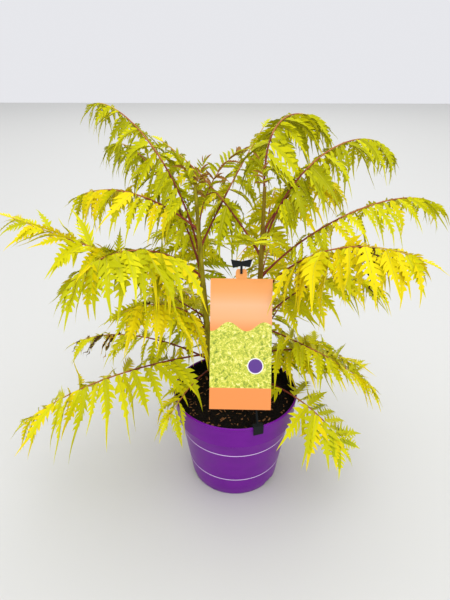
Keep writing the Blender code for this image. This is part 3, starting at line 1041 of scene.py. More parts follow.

# Painted light: the short fronds that head to the back (headings 30° to 135°, tones such as (C, L, Y, Y),
# (L, C, Y) and (C, Y, Y)) are dealt more lemon than the rest. The lighter colour stands in for light that
# shines through the leaves in the middle of the crown.
LEFT_FRONDS = (
    Frond(0.555, 165, 75, 35, 0.085, 0, 0.028, 0.10, (O, R, O), 0.9),
    Frond(0.550, 45, 80, 60, 0.070, 0, 0.024, 0.10, (R, O), 0.9),
    Frond(0.505, 50, 75, -5, 0.180, 0, 0.031, 0.15, (R, O, R), 0.75, gap=1.6),
    Frond(0.498, 172, 38, -42, 0.290, -24, 0.098, 0.76, (G, Y, G, Y, C), 0.0, 104, 0.95, 0.78),
    Frond(0.467, 55, 47, 25, 0.315, 10, 0.092, 0.80, (C, Y, C, O), 0.0, 98, 0.8, 1.2),
    Frond(0.458, 150, 75, -20, 0.440, -25, 0.084, 0.88, (C, O, C, O, C), 0.0, 98, 0.68, 0.9),
    Frond(0.428, 105, 17, -30, 0.270, 31, 0.078, 0.60, (C, Y, C), gap=1.2),
    Frond(0.420, 143, 73, -32, 0.425, -22, 0.088, 0.86, (C, O, C, C, O), 0.0, 98, 0.70, 0.9),
    Frond(0.412, 198, 50, -80, 0.310, 10, 0.124, 0.66, (C, Y, C, Y, C, C), 0.0, 126, 0.95, 0.85),
    Frond(0.397, 188, 22, 24, 0.365, -6, 0.092, 0.46, (C, Y, C, Y, G), 0.22, 98, 0.9, 0.75),
    Frond(0.365, 95, 35, -35, 0.300, 10, 0.090, 0.60, (C, L, Y, Y), gap=1.2),
    Frond(0.330, 135, 5, -15, 0.240, -8, 0.090, 0.60, (C, Y, Y)),
    Frond(0.310, 207, 58, -42, 0.225, 5, 0.114, 0.74, (Y, G, Y, C, G, Y, Y, B), 0.0, 116, 1.0, 0.60),
    Frond(0.275, 110, 25, -40, 0.290, 0, 0.095, 0.60, (C, L, Y, Y), gap=1.2),
    Frond(0.254, 207, 6, -50, 0.420, -28, 0.122, 0.60, (C, Y, Y, C, Y, C), 0.0, 124, 0.88, 1.3),
    Frond(0.240, 174, 26, -42, 0.330, -12, 0.084, 0.64, (C, Y, C, Y, B, Y, B), 0.0, 98, 0.8),
    Frond(0.222, 242, 10, -52, 0.185, -4, 0.092, 0.82, (C, Y, C), 0.0, 104, 0.85, 0.9),
    Frond(0.222, 80, 20, -35, 0.250, 15, 0.095, 0.50, (L, C, Y), gap=1.2),
)
BRIGHT = (C, G, G, G, Y, G, G, G, G, Y, G, B)
FADING = (C, Y, C, Y, O, Y, C, Y, Y, C, Y, B)
# Painted light: as on the left, the short fronds that head to the back (headings 30° to 135°) are dealt
# more lemon. The lighter colour stands in for light through the leaves in the crown's middle.
RIGHT_FRONDS = (
    Frond(0.562, 120, 80, 50, 0.065, 0, 0.024, 0.10, (R, O), 0.9),
    Frond(0.550, 94, 67, -55, 0.335, -75, 0.108, 0.88, (C, O, C, O, C), 0.0, 104, 0.80, 0.78),
    Frond(0.496, 42, 50, -72, 0.310, 20, 0.092, 0.80, (C, G, Y, Y)),
    Frond(0.484, 247, 12, -10, 0.150, 8, 0.060, 0.04, (C, O, C), 0.45, 80, 0.85, 0.9),
    Frond(0.463, 22, 77, -57, 0.425, 22, 0.096, 0.88, (C, C, O, O, C), 0.0, 100, 0.72, 0.85),
    Frond(0.455, 148, 51, 12, 0.325, -12, 0.100, 0.84, (C, Y, O, C), 0.0, 104, 0.8, 1.15),
    Frond(0.430, 80, 50, -30, 0.300, 0, 0.086, 0.62, (Y, C, Y), gap=1.3),
    Frond(0.417, -3, 50, -41, 0.450, 50, 0.088, 0.74, (C, C, Y, C, O), 0.0, 98, 0.66, 1.08),
    Frond(0.378, -28, 60, -35, 0.345, 8, 0.118, 0.78, BRIGHT, 0.0, 110, 1.0, 0.78),
    Frond(0.350, 85, 30, -40, 0.320, -10, 0.095, 0.60, (C, L, Y, Y), gap=1.2),
    Frond(0.320, 30, 40, -55, 0.345, -12, 0.100, 0.62, (C, Y, Y), gap=1.1),
    Frond(0.318, -12, -18, -45, 0.280, 15, 0.074, 0.46, FADING, 0.10, 104, 0.85, 0.72),
    Frond(0.272, 65, 20, -40, 0.290, 10, 0.095, 0.60, (C, L, Y, Y), gap=1.2),
    Frond(0.258, 8, 8, -50, 0.240, 6, 0.094, 0.50, (C, Y, Y), 0.06, 110, 0.9, 0.85),
    Frond(0.225, 40, 15, -45, 0.250, 0, 0.095, 0.50, (L, C, Y)),
    Frond(0.204, -37, 6, -74, 0.255, 12, 0.102, 0.40, (C, L, C, Y, L), 0.0, 120, 1.12, 1.05),
)
STEMS = (
    Stem("left", -0.036, 0.020, -0.032, LEFT_FRONDS),
    Stem("right", 0.034, 0.015, 0.009, RIGHT_FRONDS),
)


def sagged(way: Vector, share: float) -> Vector:
    """A direction turned towards the ground by a share."""
    return (way * (1.0 - share) + DOWN * share).normalized()


@dataclass
class Leaflet:
    """One leaflet: its root, its direction there and at its tip, and its look."""

    root: Vector
    first: Vector
    last: Vector
    width_way: Vector
    length: float
    broad: float
    shape: Shape
    tone: Tone
    edge: Tone

    def frame(self) -> Matrix:
        """The turn that lays an outline along the leaflet with its face up.

        Returns:
            The turn.
        """
        width = (self.width_way - self.first * self.width_way.dot(self.first)).normalized()
        normal = self.first.cross(width)
        if normal.z < 0.0:
            width, normal = -width, -normal
        return Matrix((self.first, width, normal)).transposed()

    def bend(self) -> Vector:
        """How far the tip is carried off the first direction."""
        return (self.last - self.first) * (self.length / 2)

    def point(self, share: float) -> Vector:
        """A point on the leaflet's midrib."""
        return self.root + self.first * (self.length * share) + self.bend() * share**2


@dataclass
class GrownFrond:
    """A frond grown from its foot by the source's rule, carried to finer leaflets.

    petiole: the bare share of the midrib. start_sag, end_sag: how much of its sag a leaflet
    has at its root and tip. spacing: between pairs at full size, times a share from the
    size_limits for other leaflets. shrunk: what a withered leaflet keeps. first_size,
    swell, swell_start, swell_run, tip_loss: how leaflet length changes along the frond.
    tone_start, tone_drift, tone_spread: where in its list a tone is dealt from.
    mixed_share, sickle_share: of leaflets with those outlines. roll, swing: the spread of
    a leaflet's turn about itself and about the midrib, in degrees.
    """

    frond: Frond
    stem: Stem
    seed: int
    steps: int = 11
    pitch_power: float = 1.2
    petiole: float = 0.17
    start_sag: float = 0.55
    end_sag: float = 1.10
    spacing: float = 0.0122
    stagger: float = 0.0030
    terminal_share: float = 0.80
    tip_spread: float = 36.0
    jitter: float = 13.0
    sink: float = 0.0012
    shrunk: float = 0.78
    fewest_pairs: int = 5
    full_leaflet: float = 0.08
    size_limits: Pair = (0.40, 1.05)
    first_size: float = 0.62
    swell: float = 0.38
    swell_start: float = 0.20
    swell_run: float = 0.62
    tip_loss: float = 0.28
    tone_start: float = -0.08
    tone_drift: float = 0.30
    tone_spread: float = 0.85
    young_below: float = 0.05
    broad_above: float = 1.1
    mixed_share: float = 0.3
    sickle_share: float = 0.4
    edge_share: float = 0.5
    sag_jitter: float = 0.20
    perky_rise: Pair = (0.35, 0.9)
    perky_relief: float = 0.45
    least_sag: float = 0.05
    roll: float = 34.0
    swing: float = 15.0
    length_range: Pair = (0.84, 1.24)
    width_range: Pair = (0.86, 1.16)
    terminal_sag: float = 0.25
    terminal_width: float = 1.15
    points: list[Vector] = field(default_factory=list)

    def __post_init__(self) -> None:
        """Lay the midrib's path from inside the stem outwards."""
        plan = self.frond
        heading = math.radians(plan.heading)
        out = Vector((math.cos(heading), math.sin(heading), 0.0))
        reach = self.stem.radius(plan.height) - self.sink
        self.points = [self.stem.point(plan.height) + out * reach]
        step = plan.length / self.steps
        for i in range(self.steps):
            share = (i + 0.5) / self.steps
            pitch = math.radians(plan.rise + (plan.end - plan.rise) * share**self.pitch_power)
            turn = math.radians(plan.heading + plan.sweep * share)
            flat = math.cos(pitch)
            way = Vector((flat * math.cos(turn), flat * math.sin(turn), math.sin(pitch)))
            self.points.append(self.points[-1] + way * step)

    def along(self, share: float) -> tuple[Vector, Vector]:
        """The point and direction at a share of the path, eased between its steps.

        Args:
            share: from 0 at the root to 1 at the tip.

        Returns:
            The point and the direction there.
        """
        place = min(max(share, 0.0), 1.0) * self.steps
        low = min(int(place), self.steps - 1)
        part = place - low
        before = self.points[max(low - 1, 0)]
        a, b = self.points[low], self.points[low + 1]
        after = self.points[min(low + 2, self.steps)]
        spot = 0.5 * (
            2 * a
            + (b - before) * part
            + (2 * before - 5 * a + 4 * b - after) * part**2
            + (3 * a - before - 3 * b + after) * part**3
        )
        way = (b - before) * (1.0 - part) + (after - a) * part
        return spot, way.normalized()

    def size(self, share: float) -> float:
        """A leaflet's length by its share of the leafy part, longest at a third of it.

        Args:
            share: of the leafy part, from its first pair to its end.

        Returns:
            The length in metres.
        """
        wave = math.sin(math.pi * (self.swell_start + self.swell_run * share))
        size = self.frond.leaflet * (self.first_size + self.swell * wave)
        return size * (1.0 - self.tip_loss * share**2)

    def tone(self, share: float, dice: random.Random) -> Tone:
        """Deal one of the frond's colours, the later ones more often near the tip.

        Args:
            share: of the leafy part, from its first pair to its end.
            dice: the random source.

        Returns:
            The colour.
        """
        tones = self.frond.tones
        place = share * self.tone_drift + dice.random() * self.tone_spread + self.tone_start
        return tones[min(max(int(place * len(tones)), 0), len(tones) - 1)]

    def shape(self, tone: Tone, hand: int, dice: random.Random) -> Shape:
        """Pick an outline that suits the leaflet's colour and side.

        Args:
            tone: the leaflet's colour.
            hand: its side of the midrib, 1 or -1.
            dice: the random source.

        Returns:
            The outline.
        """
        if self.frond.leaflet < self.young_below:
            return Shape.YOUNG
        if tone is Tone.BROWN:
            return Shape.WITHERED
        if self.frond.wide > self.broad_above:
            return Shape.BROAD
        if dice.random() < self.mixed_share:
            return dice.choice((Shape.BROAD, Shape.SLIM))
        if dice.random() < self.sickle_share:
            return Shape.LEFT_SICKLE if hand > 0 else Shape.RIGHT_SICKLE
        return Shape.LEFT_HAND if hand > 0 else Shape.RIGHT_HAND

    def leaflets(self) -> list[Leaflet]:
        """Grow the opposite pairs and the last leaflet.

        Returns:
            The frond's leaflets.
        """
        dice = random.Random(self.seed)
        plan = self.frond
        terminal = self.size(1.0) * self.terminal_share
        leafy = plan.length * (1.0 - self.petiole) - terminal
        least, most = self.size_limits
        spacing = self.spacing * plan.gap * max(least, min(most, plan.leaflet / self.full_leaflet))
        pairs = max(self.fewest_pairs, round(leafy / spacing))
        grown = []
        for i in range(pairs):
            share = i / pairs
            spot = self.petiole + leafy * share / plan.length
            for hand in (1, -1):
                shift = dice.uniform(-1, 1) * self.stagger / plan.length
                root, way = self.along(spot + shift)
                side = way.cross(UP).normalized()
                spread = plan.fan + (self.tip_spread - plan.fan) * share
                spread = math.radians(spread + dice.uniform(-1, 1) * self.jitter)
                out = way * math.cos(spread) + side * hand * math.sin(spread)
                sag = plan.sag + dice.uniform(-1, 1) * self.sag_jitter
                first = sagged(out, self.start_sag * sag**2)
                if dice.random() < plan.perky:
                    first = (out + UP * dice.uniform(*self.perky_rise)).normalized()
                    sag = max(self.least_sag, sag - self.perky_relief)
                roll = Matrix.Rotation(math.radians(dice.gauss(0, self.roll)), 3, first)
                tone = self.tone(share, dice)
                shape = self.shape(tone, hand, dice)
                length = self.size(share) * dice.uniform(*self.length_range)
                if shape is Shape.WITHERED:
                    length *= self.shrunk
                broad = plan.wide * dice.uniform(*self.width_range)
                swing = Matrix.Rotation(math.radians(dice.gauss(0, self.swing)), 3, way)
                last = swing @ sagged(out, min(1.0, sag * self.end_sag))
                edge = EDGES.get(tone, tone) if dice.random() < self.edge_share else tone
                grown.append(Leaflet(root, first, last, roll @ way, length, broad, shape, tone, edge))
        root, way = self.along(1.0 - terminal / plan.length)
        side = way.cross(UP).normalized()
        tone = self.tone(1.0, dice)
        shape = self.shape(tone, 1, dice)
        last = sagged(way, self.terminal_sag)
        grown.append(Leaflet(root, way, last, side, terminal, self.terminal_width, shape, tone, tone))
        return grown


@dataclass(frozen=True)
class Outline:
    """A deeply cut leaflet one unit long, laid along X with its face up.

    lobes: on each side. leafy: the share of the length that bears them. body: half width
    between the lobes. lobe: how far the longest lobe stands out. lean: how far a lobe
    reaches forward for each unit that it stands out. fullness: the share of the edge that
    lobes spring from. fold: how far the halves rise. hook: sideways curve of the midrib.
    twist: turn of the blade in radians. crumple: how far it has withered. start: where the
    lobes begin. crowding: how much closer they stand at first, as a power. tail_parts:
    places on the bare tail. opening, opening_length: the body's width at its root, and
    where it is full. tail_start, tail_power: where and how the body thins out. first_lobe,
    growth, last_lobe, decline: how lobes grow and then fall off. forward: the least that a
    lobe reaches forward. shoulder: where its back bends, as shares along and out. curl:
    how far its point bends down. wave, ripple: how the blade undulates, with their turns.
    """

    lobes: int = 6
    leafy: float = 0.66
    body: float = 0.045
    lobe: float = 0.155
    lean: float = 1.30
    fullness: float = 0.86
    fold: float = 0.38
    hook: float = 0.03
    twist: float = 0.0
    crumple: float = 0.0
    seed: int = 1
    start: float = 0.02
    crowding: float = 0.9
    unevenness: float = 0.018
    tail_parts: tuple[float, ...] = (0.35, 0.70)
    opening: float = 0.35
    opening_length: float = 0.10
    tail_start: float = 0.7
    tail_power: float = 0.85
    first_lobe: float = 0.55
    growth: float = 0.20
    last_lobe: float = 0.14
    decline: float = 1.1
    lobe_range: Pair = (0.68, 1.25)
    forward: float = 0.025
    shoulder: Pair = (0.40, 0.56)
    farthest: float = 0.97
    curl: float = 0.22
    wave: float = 0.012
    wave_turns: float = 9.0
    ripple: float = 0.05
    ripple_turns: Pair = (23.0, 60.0)
    narrowing: float = 0.6
    shortening: float = 0.1
    rib_places: tuple[float, ...] = (0.0, 0.12, 0.28, 0.46, 0.64, 0.80)
    rib_end: float = 0.90
    rib_girth: float = 0.0088
    rib_tip: float = 0.0022
    rib_flatness: float = 0.8

    def middle(self, share: float) -> Vector:
        """A point on the outline's midrib."""
        return Vector((share, self.hook * share**2, 0.0))

    def body_width(self, share: float) -> float:
        """Half the width between the lobes: slim at the root, then even, then a long tail.

        Args:
            share: from 0 at the root to 1 at the tip.

        Returns:
            Half the width, in outline units.
        """
        opening = min(1.0, self.opening + share / self.opening_length * (1.0 - self.opening))
        tail = min(1.0, max(0.0, 1.0 - share) / (1.0 - self.leafy * self.tail_start))
        return self.body * opening * tail**self.tail_power

    def lobe_width(self, share: float, dice: random.Random) -> float:
        """How far a lobe stands out of the body.

        Args:
            share: from 0 at the root to 1 at the tip.
            dice: the random source.

        Returns:
            The distance, in outline units.
        """
        place = share / self.leafy
        rise = self.first_lobe + (1.0 - self.first_lobe) * min(1.0, place / self.growth)
        fall = self.last_lobe + (1.0 - self.last_lobe) * max(0.0, 1.0 - place) ** self.decline
        return self.lobe * rise * fall * dice.uniform(*self.lobe_range)

    def lifted(self, share: float, across: float, curl: float = 0.0) -> Vector:
        """A point on the folded, twisted blade.

        Args:
            share: from 0 at the root to 1 at the tip.
            across: how far off the midrib, in outline units.
            curl: how far the spot is bent down.

        Returns:
            The point.
        """
        angle = self.twist * share
        wave = self.wave * math.sin(share * self.wave_turns + self.seed)
        rise = abs(across) * self.fold - curl + wave
        spot = self.middle(share)
        across *= 1.0 - self.crumple * self.narrowing
        turn_y = across * math.cos(angle) - rise * math.sin(angle)
        turn_z = across * math.sin(angle) + rise * math.cos(angle)
        along, out = self.ripple_turns
        ripple = self.crumple * self.ripple * math.sin(share * along + across * out)
        reach = spot.x - self.crumple * self.shortening * share
        return Vector((reach, spot.y + turn_y, spot.z + turn_z + ripple))

    def blade(self, layer: Layer) -> tuple[list[Vector], list[tuple[int, ...]]]:
        """Corners and faces of the blade's middle or of its lobes and tail.

        Args:
            layer: the part of the leaflet.

        Returns:
            The corners and the faces.
        """
        dice = random.Random(self.seed)
        corners: list[Vector] = []
        faces: list[tuple[int, ...]] = []
        steps = [(i / self.lobes) ** self.crowding for i in range(self.lobes + 1)]
        shares = [self.start + (self.leafy - self.start) * step for step in steps]
        for i in range(1, self.lobes):
            shares[i] += dice.uniform(-self.unevenness, self.unevenness)
        shares += [self.leafy + (1.0 - self.leafy) * part for part in self.tail_parts]
        spine = []
        for share in shares:
            spine.append(len(corners))
            corners.append(self.lifted(share, 0.0))
        end = len(corners)
        corners.append(self.lifted(1.0, 0.0))
        for hand in (1, -1):
            notch = []
            for share in shares:
                notch.append(len(corners))
                corners.append(self.lifted(share, hand * self.body_width(share)))
            half = []
            for i in range(self.lobes):
                low, high = shares[i], shares[i + 1]
                armpit = low + (high - low) * self.fullness
                stand = self.lobe_width(low, dice)
                lean = stand * self.lean + self.forward
                back = self.body_width(low) + stand * self.shoulder[1]
                far = self.body_width(low) + stand
                point = min(low + lean, self.farthest)
                corners.append(self.lifted(armpit, hand * self.body_width(armpit)))
                corners.append(self.lifted(low + lean * self.shoulder[0], hand * back))
                corners.append(self.lifted(point, hand * far, stand * self.curl))
                root, bend, tip = len(corners) - 3, len(corners) - 2, len(corners) - 1
                inner = (spine[i], spine[i + 1], notch[i + 1], root, notch[i])
                half.append(inner if layer is Layer.BODY else (notch[i], root, tip, bend))
            if layer is Layer.LOBES:
                for i in range(self.lobes, len(shares) - 1):
                    half.append((spine[i], spine[i + 1], notch[i + 1], notch[i]))
                half.append((spine[-1], end, notch[-1]))
            faces += half if hand > 0 else [face[::-1] for face in half]
        return corners, faces

    def rib(self) -> tuple[list[Vector], list[tuple[int, ...]]]:
        """Corners and faces of a slim three-sided rib along the blade's middle.

        Returns:
            The corners and the faces.
        """
        corners, faces = [], []
        for share in self.rib_places:
            girth = self.rib_girth * (1.0 - share) + self.rib_tip
            middle = self.lifted(share, 0.0)
            for angle in (90.0, 210.0, 330.0):
                turn = math.radians(angle)
                way = Vector((0.0, math.cos(turn), math.sin(turn) * self.rib_flatness))
                corners.append(middle + way * girth)
        for ring in range(len(self.rib_places) - 1):
            for i in range(3):
                a, b = ring * 3 + i, ring * 3 + (i + 1) % 3
                faces.append((a, b, b + 3, a + 3))
        tip = len(corners)
        corners.append(self.lifted(self.rib_end, 0.0))
        last = (len(self.rib_places) - 1) * 3
        faces += [(last, last + 1, tip), (last + 1, last + 2, tip), (last + 2, last, tip), (2, 1, 0)]
        return corners, faces


OUTLINES = {
    Shape.LEFT_HAND: Outline(hook=0.075, seed=3),
    Shape.RIGHT_HAND: Outline(hook=-0.075, seed=5),
    Shape.BROAD: Outline(
        leafy=0.72, body=0.044, lobe=0.215, lean=1.15, fullness=0.76, hook=0.02, fold=0.22, seed=8
    ),
    Shape.SLIM: Outline(lobes=5, body=0.036, lobe=0.115, hook=-0.04, twist=0.9, seed=13),
    Shape.YOUNG: Outline(lobes=5, leafy=0.85, body=0.070, lobe=0.045, fold=1.1, hook=0.05, seed=21),
    Shape.WITHERED: Outline(body=0.040, lobe=0.05, fold=1.4, twist=3.4, crumple=0.8, seed=34),
    Shape.LEFT_SICKLE: Outline(leafy=0.58, lobe=0.170, hook=0.15, twist=-0.5, seed=55),
    Shape.RIGHT_SICKLE: Outline(leafy=0.58, lobe=0.170, hook=-0.15, twist=0.5, seed=89),
}


def pattern_collection(layer: Layer) -> Collection:
    """Make the collection of one layer's outlines that the leaflet graph picks from.

    Args:
        layer: the part of the leaflet.

    Returns:
        The collection.
    """
    name = f"outline_{layer.value}"
    group = bpy.data.collections.new(name)
    for shape, outline in OUTLINES.items():
        corners, faces = outline.rib() if layer is Layer.RIB else outline.blade(layer)
        made = add_mesh(f"{name}_{shape.value}", corners, faces)
        reach = made.data.attributes.new("reach", "FLOAT", "POINT")
        for item, corner in zip(reach.data, corners):
            item.value = corner.x
        bpy.context.scene.collection.objects.unlink(made)
        group.objects.link(made)
    return group


def drop_collection(group: Collection) -> None:
    """Remove a helper collection and its objects.

    Args:
        group: the collection.
    """
    for thing in list(group.objects):
        bpy.data.objects.remove(thing)
    bpy.data.collections.remove(group)


# Sub-assemblies


@dataclass
class Pot:
    """The turned nursery pot: rim band over a tapered body, with notches at its foot.

    Radii are outer ones. heel_share: of the chamfer that the foot stands wider than the
    base. Each edge lists its corners as steps out of and above the corner that it softens;
    heel_edge has shares of the chamfer for the step inwards. creases: the angles in degrees
    below which the pot, and the skins on it, shade smoothly.
    """

    height: float = 0.190
    rim: float = 0.117
    base: float = 0.084
    wall: float = 0.0018
    floor: float = 0.0025
    band: float = 0.044
    band_foot: float = 0.1135
    body_top: float = 0.1065
    chamfer: float = 0.004
    sides: int = 144
    notches: tuple[float, ...] = (-38.0, 82.0, 202.0)
    notch_width: float = 0.026
    notch_height: float = 0.0085
    printed: tuple[float, ...] = (0.1145, 0.0452)
    lining_foot: float = 0.160
    heel_share: float = 0.35
    fillet: float = 0.003
    fold_step: float = 0.0015
    lip_steps: int = 8
    lip_edge: tuple[Pair, ...] = ((0.0, -0.0030), (-0.0012, -0.0045))
    band_edge: tuple[Pair, ...] = ((0.0, 0.0004), (-0.0006, -0.0002))
    body_edge: tuple[Pair, ...] = ((0.0004, -0.0012), (-0.0002, -0.0030))
    heel_edge: tuple[Pair, ...] = ((0.1, 0.0008), (0.35, 0.0))
    low_ring: float = 0.020
    notch_depth: float = 0.020
    notch_round: float = 0.6
    notch_shift: float = 0.003
    line_half: float = 0.00080
    line_skin: float = 0.00012
    lining_skin: float = 0.00018
    creases: Pair = (28.0, 40.0)

    def outer_radius(self, height: float) -> float:
        """The body's radius at a height below the band.

        Args:
            height: above the ground, in metres.

        Returns:
            The radius in metres.
        """
        foot = self.base + self.chamfer * self.heel_share
        share = (height - self.chamfer) / (self.height - self.band - self.fold_step - self.chamfer)
        return foot + (self.body_top - foot) * share

    def profile(self) -> list[Pair]:
        """The wall's outline from the middle of the floor, inside up and outside down.

        Returns:
            The points as (radius, height).
        """
        fold = self.height - self.band
        heel = self.floor + self.chamfer
        foot = self.outer_radius(heel) - self.wall
        inside = [(0.0, self.floor), (foot - self.fillet, self.floor), (foot, heel)]
        inside.append((self.body_top - self.wall, fold - self.fold_step))
        inside.append((self.band_foot - self.wall, fold + self.wall))
        lip = []
        middle, half = self.rim - self.wall, self.wall
        for step in range(self.lip_steps + 1):
            angle = math.pi * (1.0 - step / self.lip_steps)
            lip.append((middle + half * math.cos(angle), self.height - half + half * math.sin(angle)))
        outside = [(self.rim + out, self.height + up) for out, up in self.lip_edge]
        outside += [(self.band_foot + out, fold + up) for out, up in self.band_edge]
        outside += [(self.body_top + out, fold + up) for out, up in self.body_edge]
        outside += [(self.outer_radius(height), height) for height in (self.low_ring, self.chamfer)]
        outside += [(self.base - self.chamfer * share, up) for share, up in self.heel_edge]
        return inside + lip + outside + [(0.0, 0.0)]

    def build(self) -> Object:
        """Turn the shell and cut its notches.

        Returns:
            The piece.
        """
        pot = turned("nursery_pot", self.profile(), self.sides, PURPLE.material())
        cutters = bpy.data.collections.new("notch_cutters")
        for number, heading in enumerate(self.notches):
            cutters.objects.link(self.cutter(number, heading))
        cut = pot.modifiers.new("notches", "BOOLEAN")
        cut.operation, cut.solver = "DIFFERENCE", "EXACT"
        cut.operand_type, cut.collection = "COLLECTION", cutters
        settle(pot)
        drop_collection(cutters)
        return mount(round_off(pot, self.creases[0]), "pot_purple", "pot")

    def cutter(self, number: int, heading: float) -> Object:
        """One rounded block for a notch at the pot's foot.

        Args:
            number: the notch's number.
            heading: in degrees from X.

        Returns:
            The block.
        """
        work = bmesh.new()
        bmesh.ops.create_cube(work, size=1.0)
        size = (self.notch_depth, self.notch_width, self.notch_height * 2)
        bmesh.ops.scale(work, verts=work.verts, vec=size)
        offset = self.notch_height * self.notch_round
        bmesh.ops.bevel(
            work, geom=work.edges, offset=offset, segments=5, profile=0.5, affect="EDGES"
        )
        turn = math.radians(heading)
        reach = self.base + self.notch_shift
        spot = Matrix.Translation((reach * math.cos(turn), reach * math.sin(turn), 0.0))
        work.transform(spot @ Matrix.Rotation(turn, 4, "Z"))
        return free_object(f"notch_{number}", work)

    def build_lines(self) -> Object:
        """The two fine printed lines round the body, as a skin on the plastic.

        Returns:
            The piece.
        """
        bands = []
        for height in self.printed:
            skin = self.line_skin
            top, low = height + self.line_half, height - self.line_half
            ring = [(self.outer_radius(top) + skin, top), (self.outer_radius(low) + skin, low)]
            ring += [(self.outer_radius(low) - skin, low), (self.outer_radius(top) - skin, top)]
            bands.append(turned("line", ring + ring[:1], self.sides, PRINT.material()))
        lines = join("printed_lines", bands)
        return mount(round_off(lines, self.creases[1]), "pot_purple")

    def build_lining(self) -> Object:
        """The black inner face of the wall above the mix, as a skin on the plastic.

        Returns:
            The piece.
        """
        skin, low, high = self.lining_skin, self.lining_foot, self.height - self.wall
        fold = self.height - self.band + self.wall
        lip = self.rim - 2 * self.wall
        slope = (lip - self.band_foot + self.wall) / (high - fold)
        foot = self.band_foot - self.wall + slope * (low - fold)
        ring = [(lip + skin, high), (foot + skin, low), (foot - skin, low), (lip - skin, high)]
        lining = turned("pot_lining", ring + ring[:1], self.sides, BLACK.material())
        return mount(round_off(lining, self.creases[1]), "holder_black")


@dataclass(frozen=True)
class Chips:
    """One kind of chips on the mix.

    density: chips on a square metre. sizes: their smallest and largest scale. lean: how
    far they tip, in radians.
    """

    name: str
    finish: MottledFinish
    density: float
    sizes: Pair
    lean: float
    seed: int


CHIP_KINDS = (
    Chips("bark_crumbs", CHIP_DARK, 30000.0, (0.35, 1.0), 0.6, 4),
    Chips("wood_slivers", CHIP_TAN, 6500.0, (0.45, 1.25), 0.35, 9),
)


@dataclass
class PottingMix:
    """The dark mix a little below the rim, with bark chips and slivers on it.

    lumps, crumbs: the frequency and height of coarse and fine unevenness. settled: the
    share of the dome that is left. sunk: how far the surface lies below the flat cut of
    the stems. skirt: how far it draws in below. edge: a strip along the wall without
    chips. chips: sizes in millimetres. skew: how unevenly their corners stand.
    """

    top: float = 0.170
    dome: float = 0.003
    radius: float = 0.1124
    depth: float = 0.010
    rings: int = 34
    spokes: int = 120
    lumps: Pair = (70.0, 0.0026)
    crumbs: Pair = (330.0, 0.0011)
    settled: float = 0.8
    sunk: float = 0.0012
    skirt: float = 0.002
    edge: float = 0.007
    crease: float = 60.0
    chips: tuple[Triple, ...] = (
        (6.5, 3.0, 1.6),
        (9.5, 1.7, 1.0),
        (4.2, 3.4, 2.2),
        (12.5, 1.5, 0.8),
    )
    skew: Pair = (0.55, 1.1)

    def surface(self, x: float, y: float) -> float:
        """The height of the lumpy surface, lower than the flat cut of the stems.

        Args:
            x: in metres.
            y: in metres.

        Returns:
            The height in metres.
        """
        reach = min(1.0, math.hypot(x, y) / self.radius)
        often, high = self.lumps
        lumps = noise.fractal(Vector((x, y, 0.0)) * often, 0.9, 2.1, 4) * high
        often, high = self.crumbs
        crumbs = noise.noise(Vector((x, y, 4.0)) * often) * high
        return self.top + self.dome * (1.0 - reach**2) * self.settled + lumps + crumbs - self.sunk

    def build(self) -> Object:
        """The lumpy surface with a skirt down the pot's wall.

        Returns:
            The piece.
        """
        corners = [Vector((0.0, 0.0, self.surface(0.0, 0.0)))]
        faces = []
        for ring in range(1, self.rings + 1):
            reach = self.radius * ring / self.rings
            for spoke in range(self.spokes):
                turn = 2 * math.pi * spoke / self.spokes
                x, y = reach * math.cos(turn), reach * math.sin(turn)
                corners.append(Vector((x, y, self.surface(x, y))))
        for spoke in range(self.spokes):
            turn = 2 * math.pi * spoke / self.spokes
            low = self.radius - self.skirt
            corners.append(Vector((low * math.cos(turn), low * math.sin(turn), self.top - self.depth)))
        count = self.spokes
        for spoke in range(count):
            after = (spoke + 1) % count
            faces.append((0, 1 + spoke, 1 + after))
            for ring in range(self.rings):
                a, b = 1 + ring * count + spoke, 1 + ring * count + after
                faces.append((a, a + count, b + count, b))
        mix = add_mesh("potting_mix_surface", corners, faces, MIX.material())
        mount(round_off(mix, self.crease), "mix_brown", "potting_mix")
        for kind in CHIP_KINDS:
            self.scatter(mix, kind)
        return mix

    def scatter(self, ground: Object, kind: Chips) -> Object:
        """Strew chips over the flat of the mix by the scatter graph.

        Args:
            ground: the surface of the mix.
            kind: the kind of chips.

        Returns:
            The piece.
        """
        pieces = bpy.data.collections.new(kind.name + "_pieces")
        for number, size in enumerate(self.chips):
            chip = self.chip(f"{kind.name}_{number}", Vector(size) / 1000, kind.seed + number)
            pieces.objects.link(chip)
        inner = self.radius - self.edge
        kept = [v.co.copy() for v in ground.data.vertices]
        flat = [tuple(f.vertices) for f in ground.data.polygons if math.hypot(*f.center[:2]) < inner]
        base = add_mesh(kind.name, kept, flat)
        scatter_graph(kind.name + "_graph").run(
            base,
            Pieces=pieces,
            Density=kind.density,
            Smallest=kind.sizes[0],
            Largest=kind.sizes[1],
            Lean=kind.lean,
            Seed=kind.seed,
            Finish=kind.finish.material(),
        )
        drop_collection(pieces)
        return mount(base, "mix_brown")

    def chip(self, name: str, size: Vector, seed: int) -> Object:
        """One chip: a box with skewed, uneven corners.

        Args:
            name: the object's name.
            size: its box in metres.
            seed: of its random corners.

        Returns:
            The chip.
        """
        dice = random.Random(seed)
        work = bmesh.new()
        bmesh.ops.create_cube(work, size=1.0)
        for corner in work.verts:
            for axis in range(3):
                corner.co[axis] *= size[axis] * dice.uniform(*self.skew)
        return free_object(name, work)


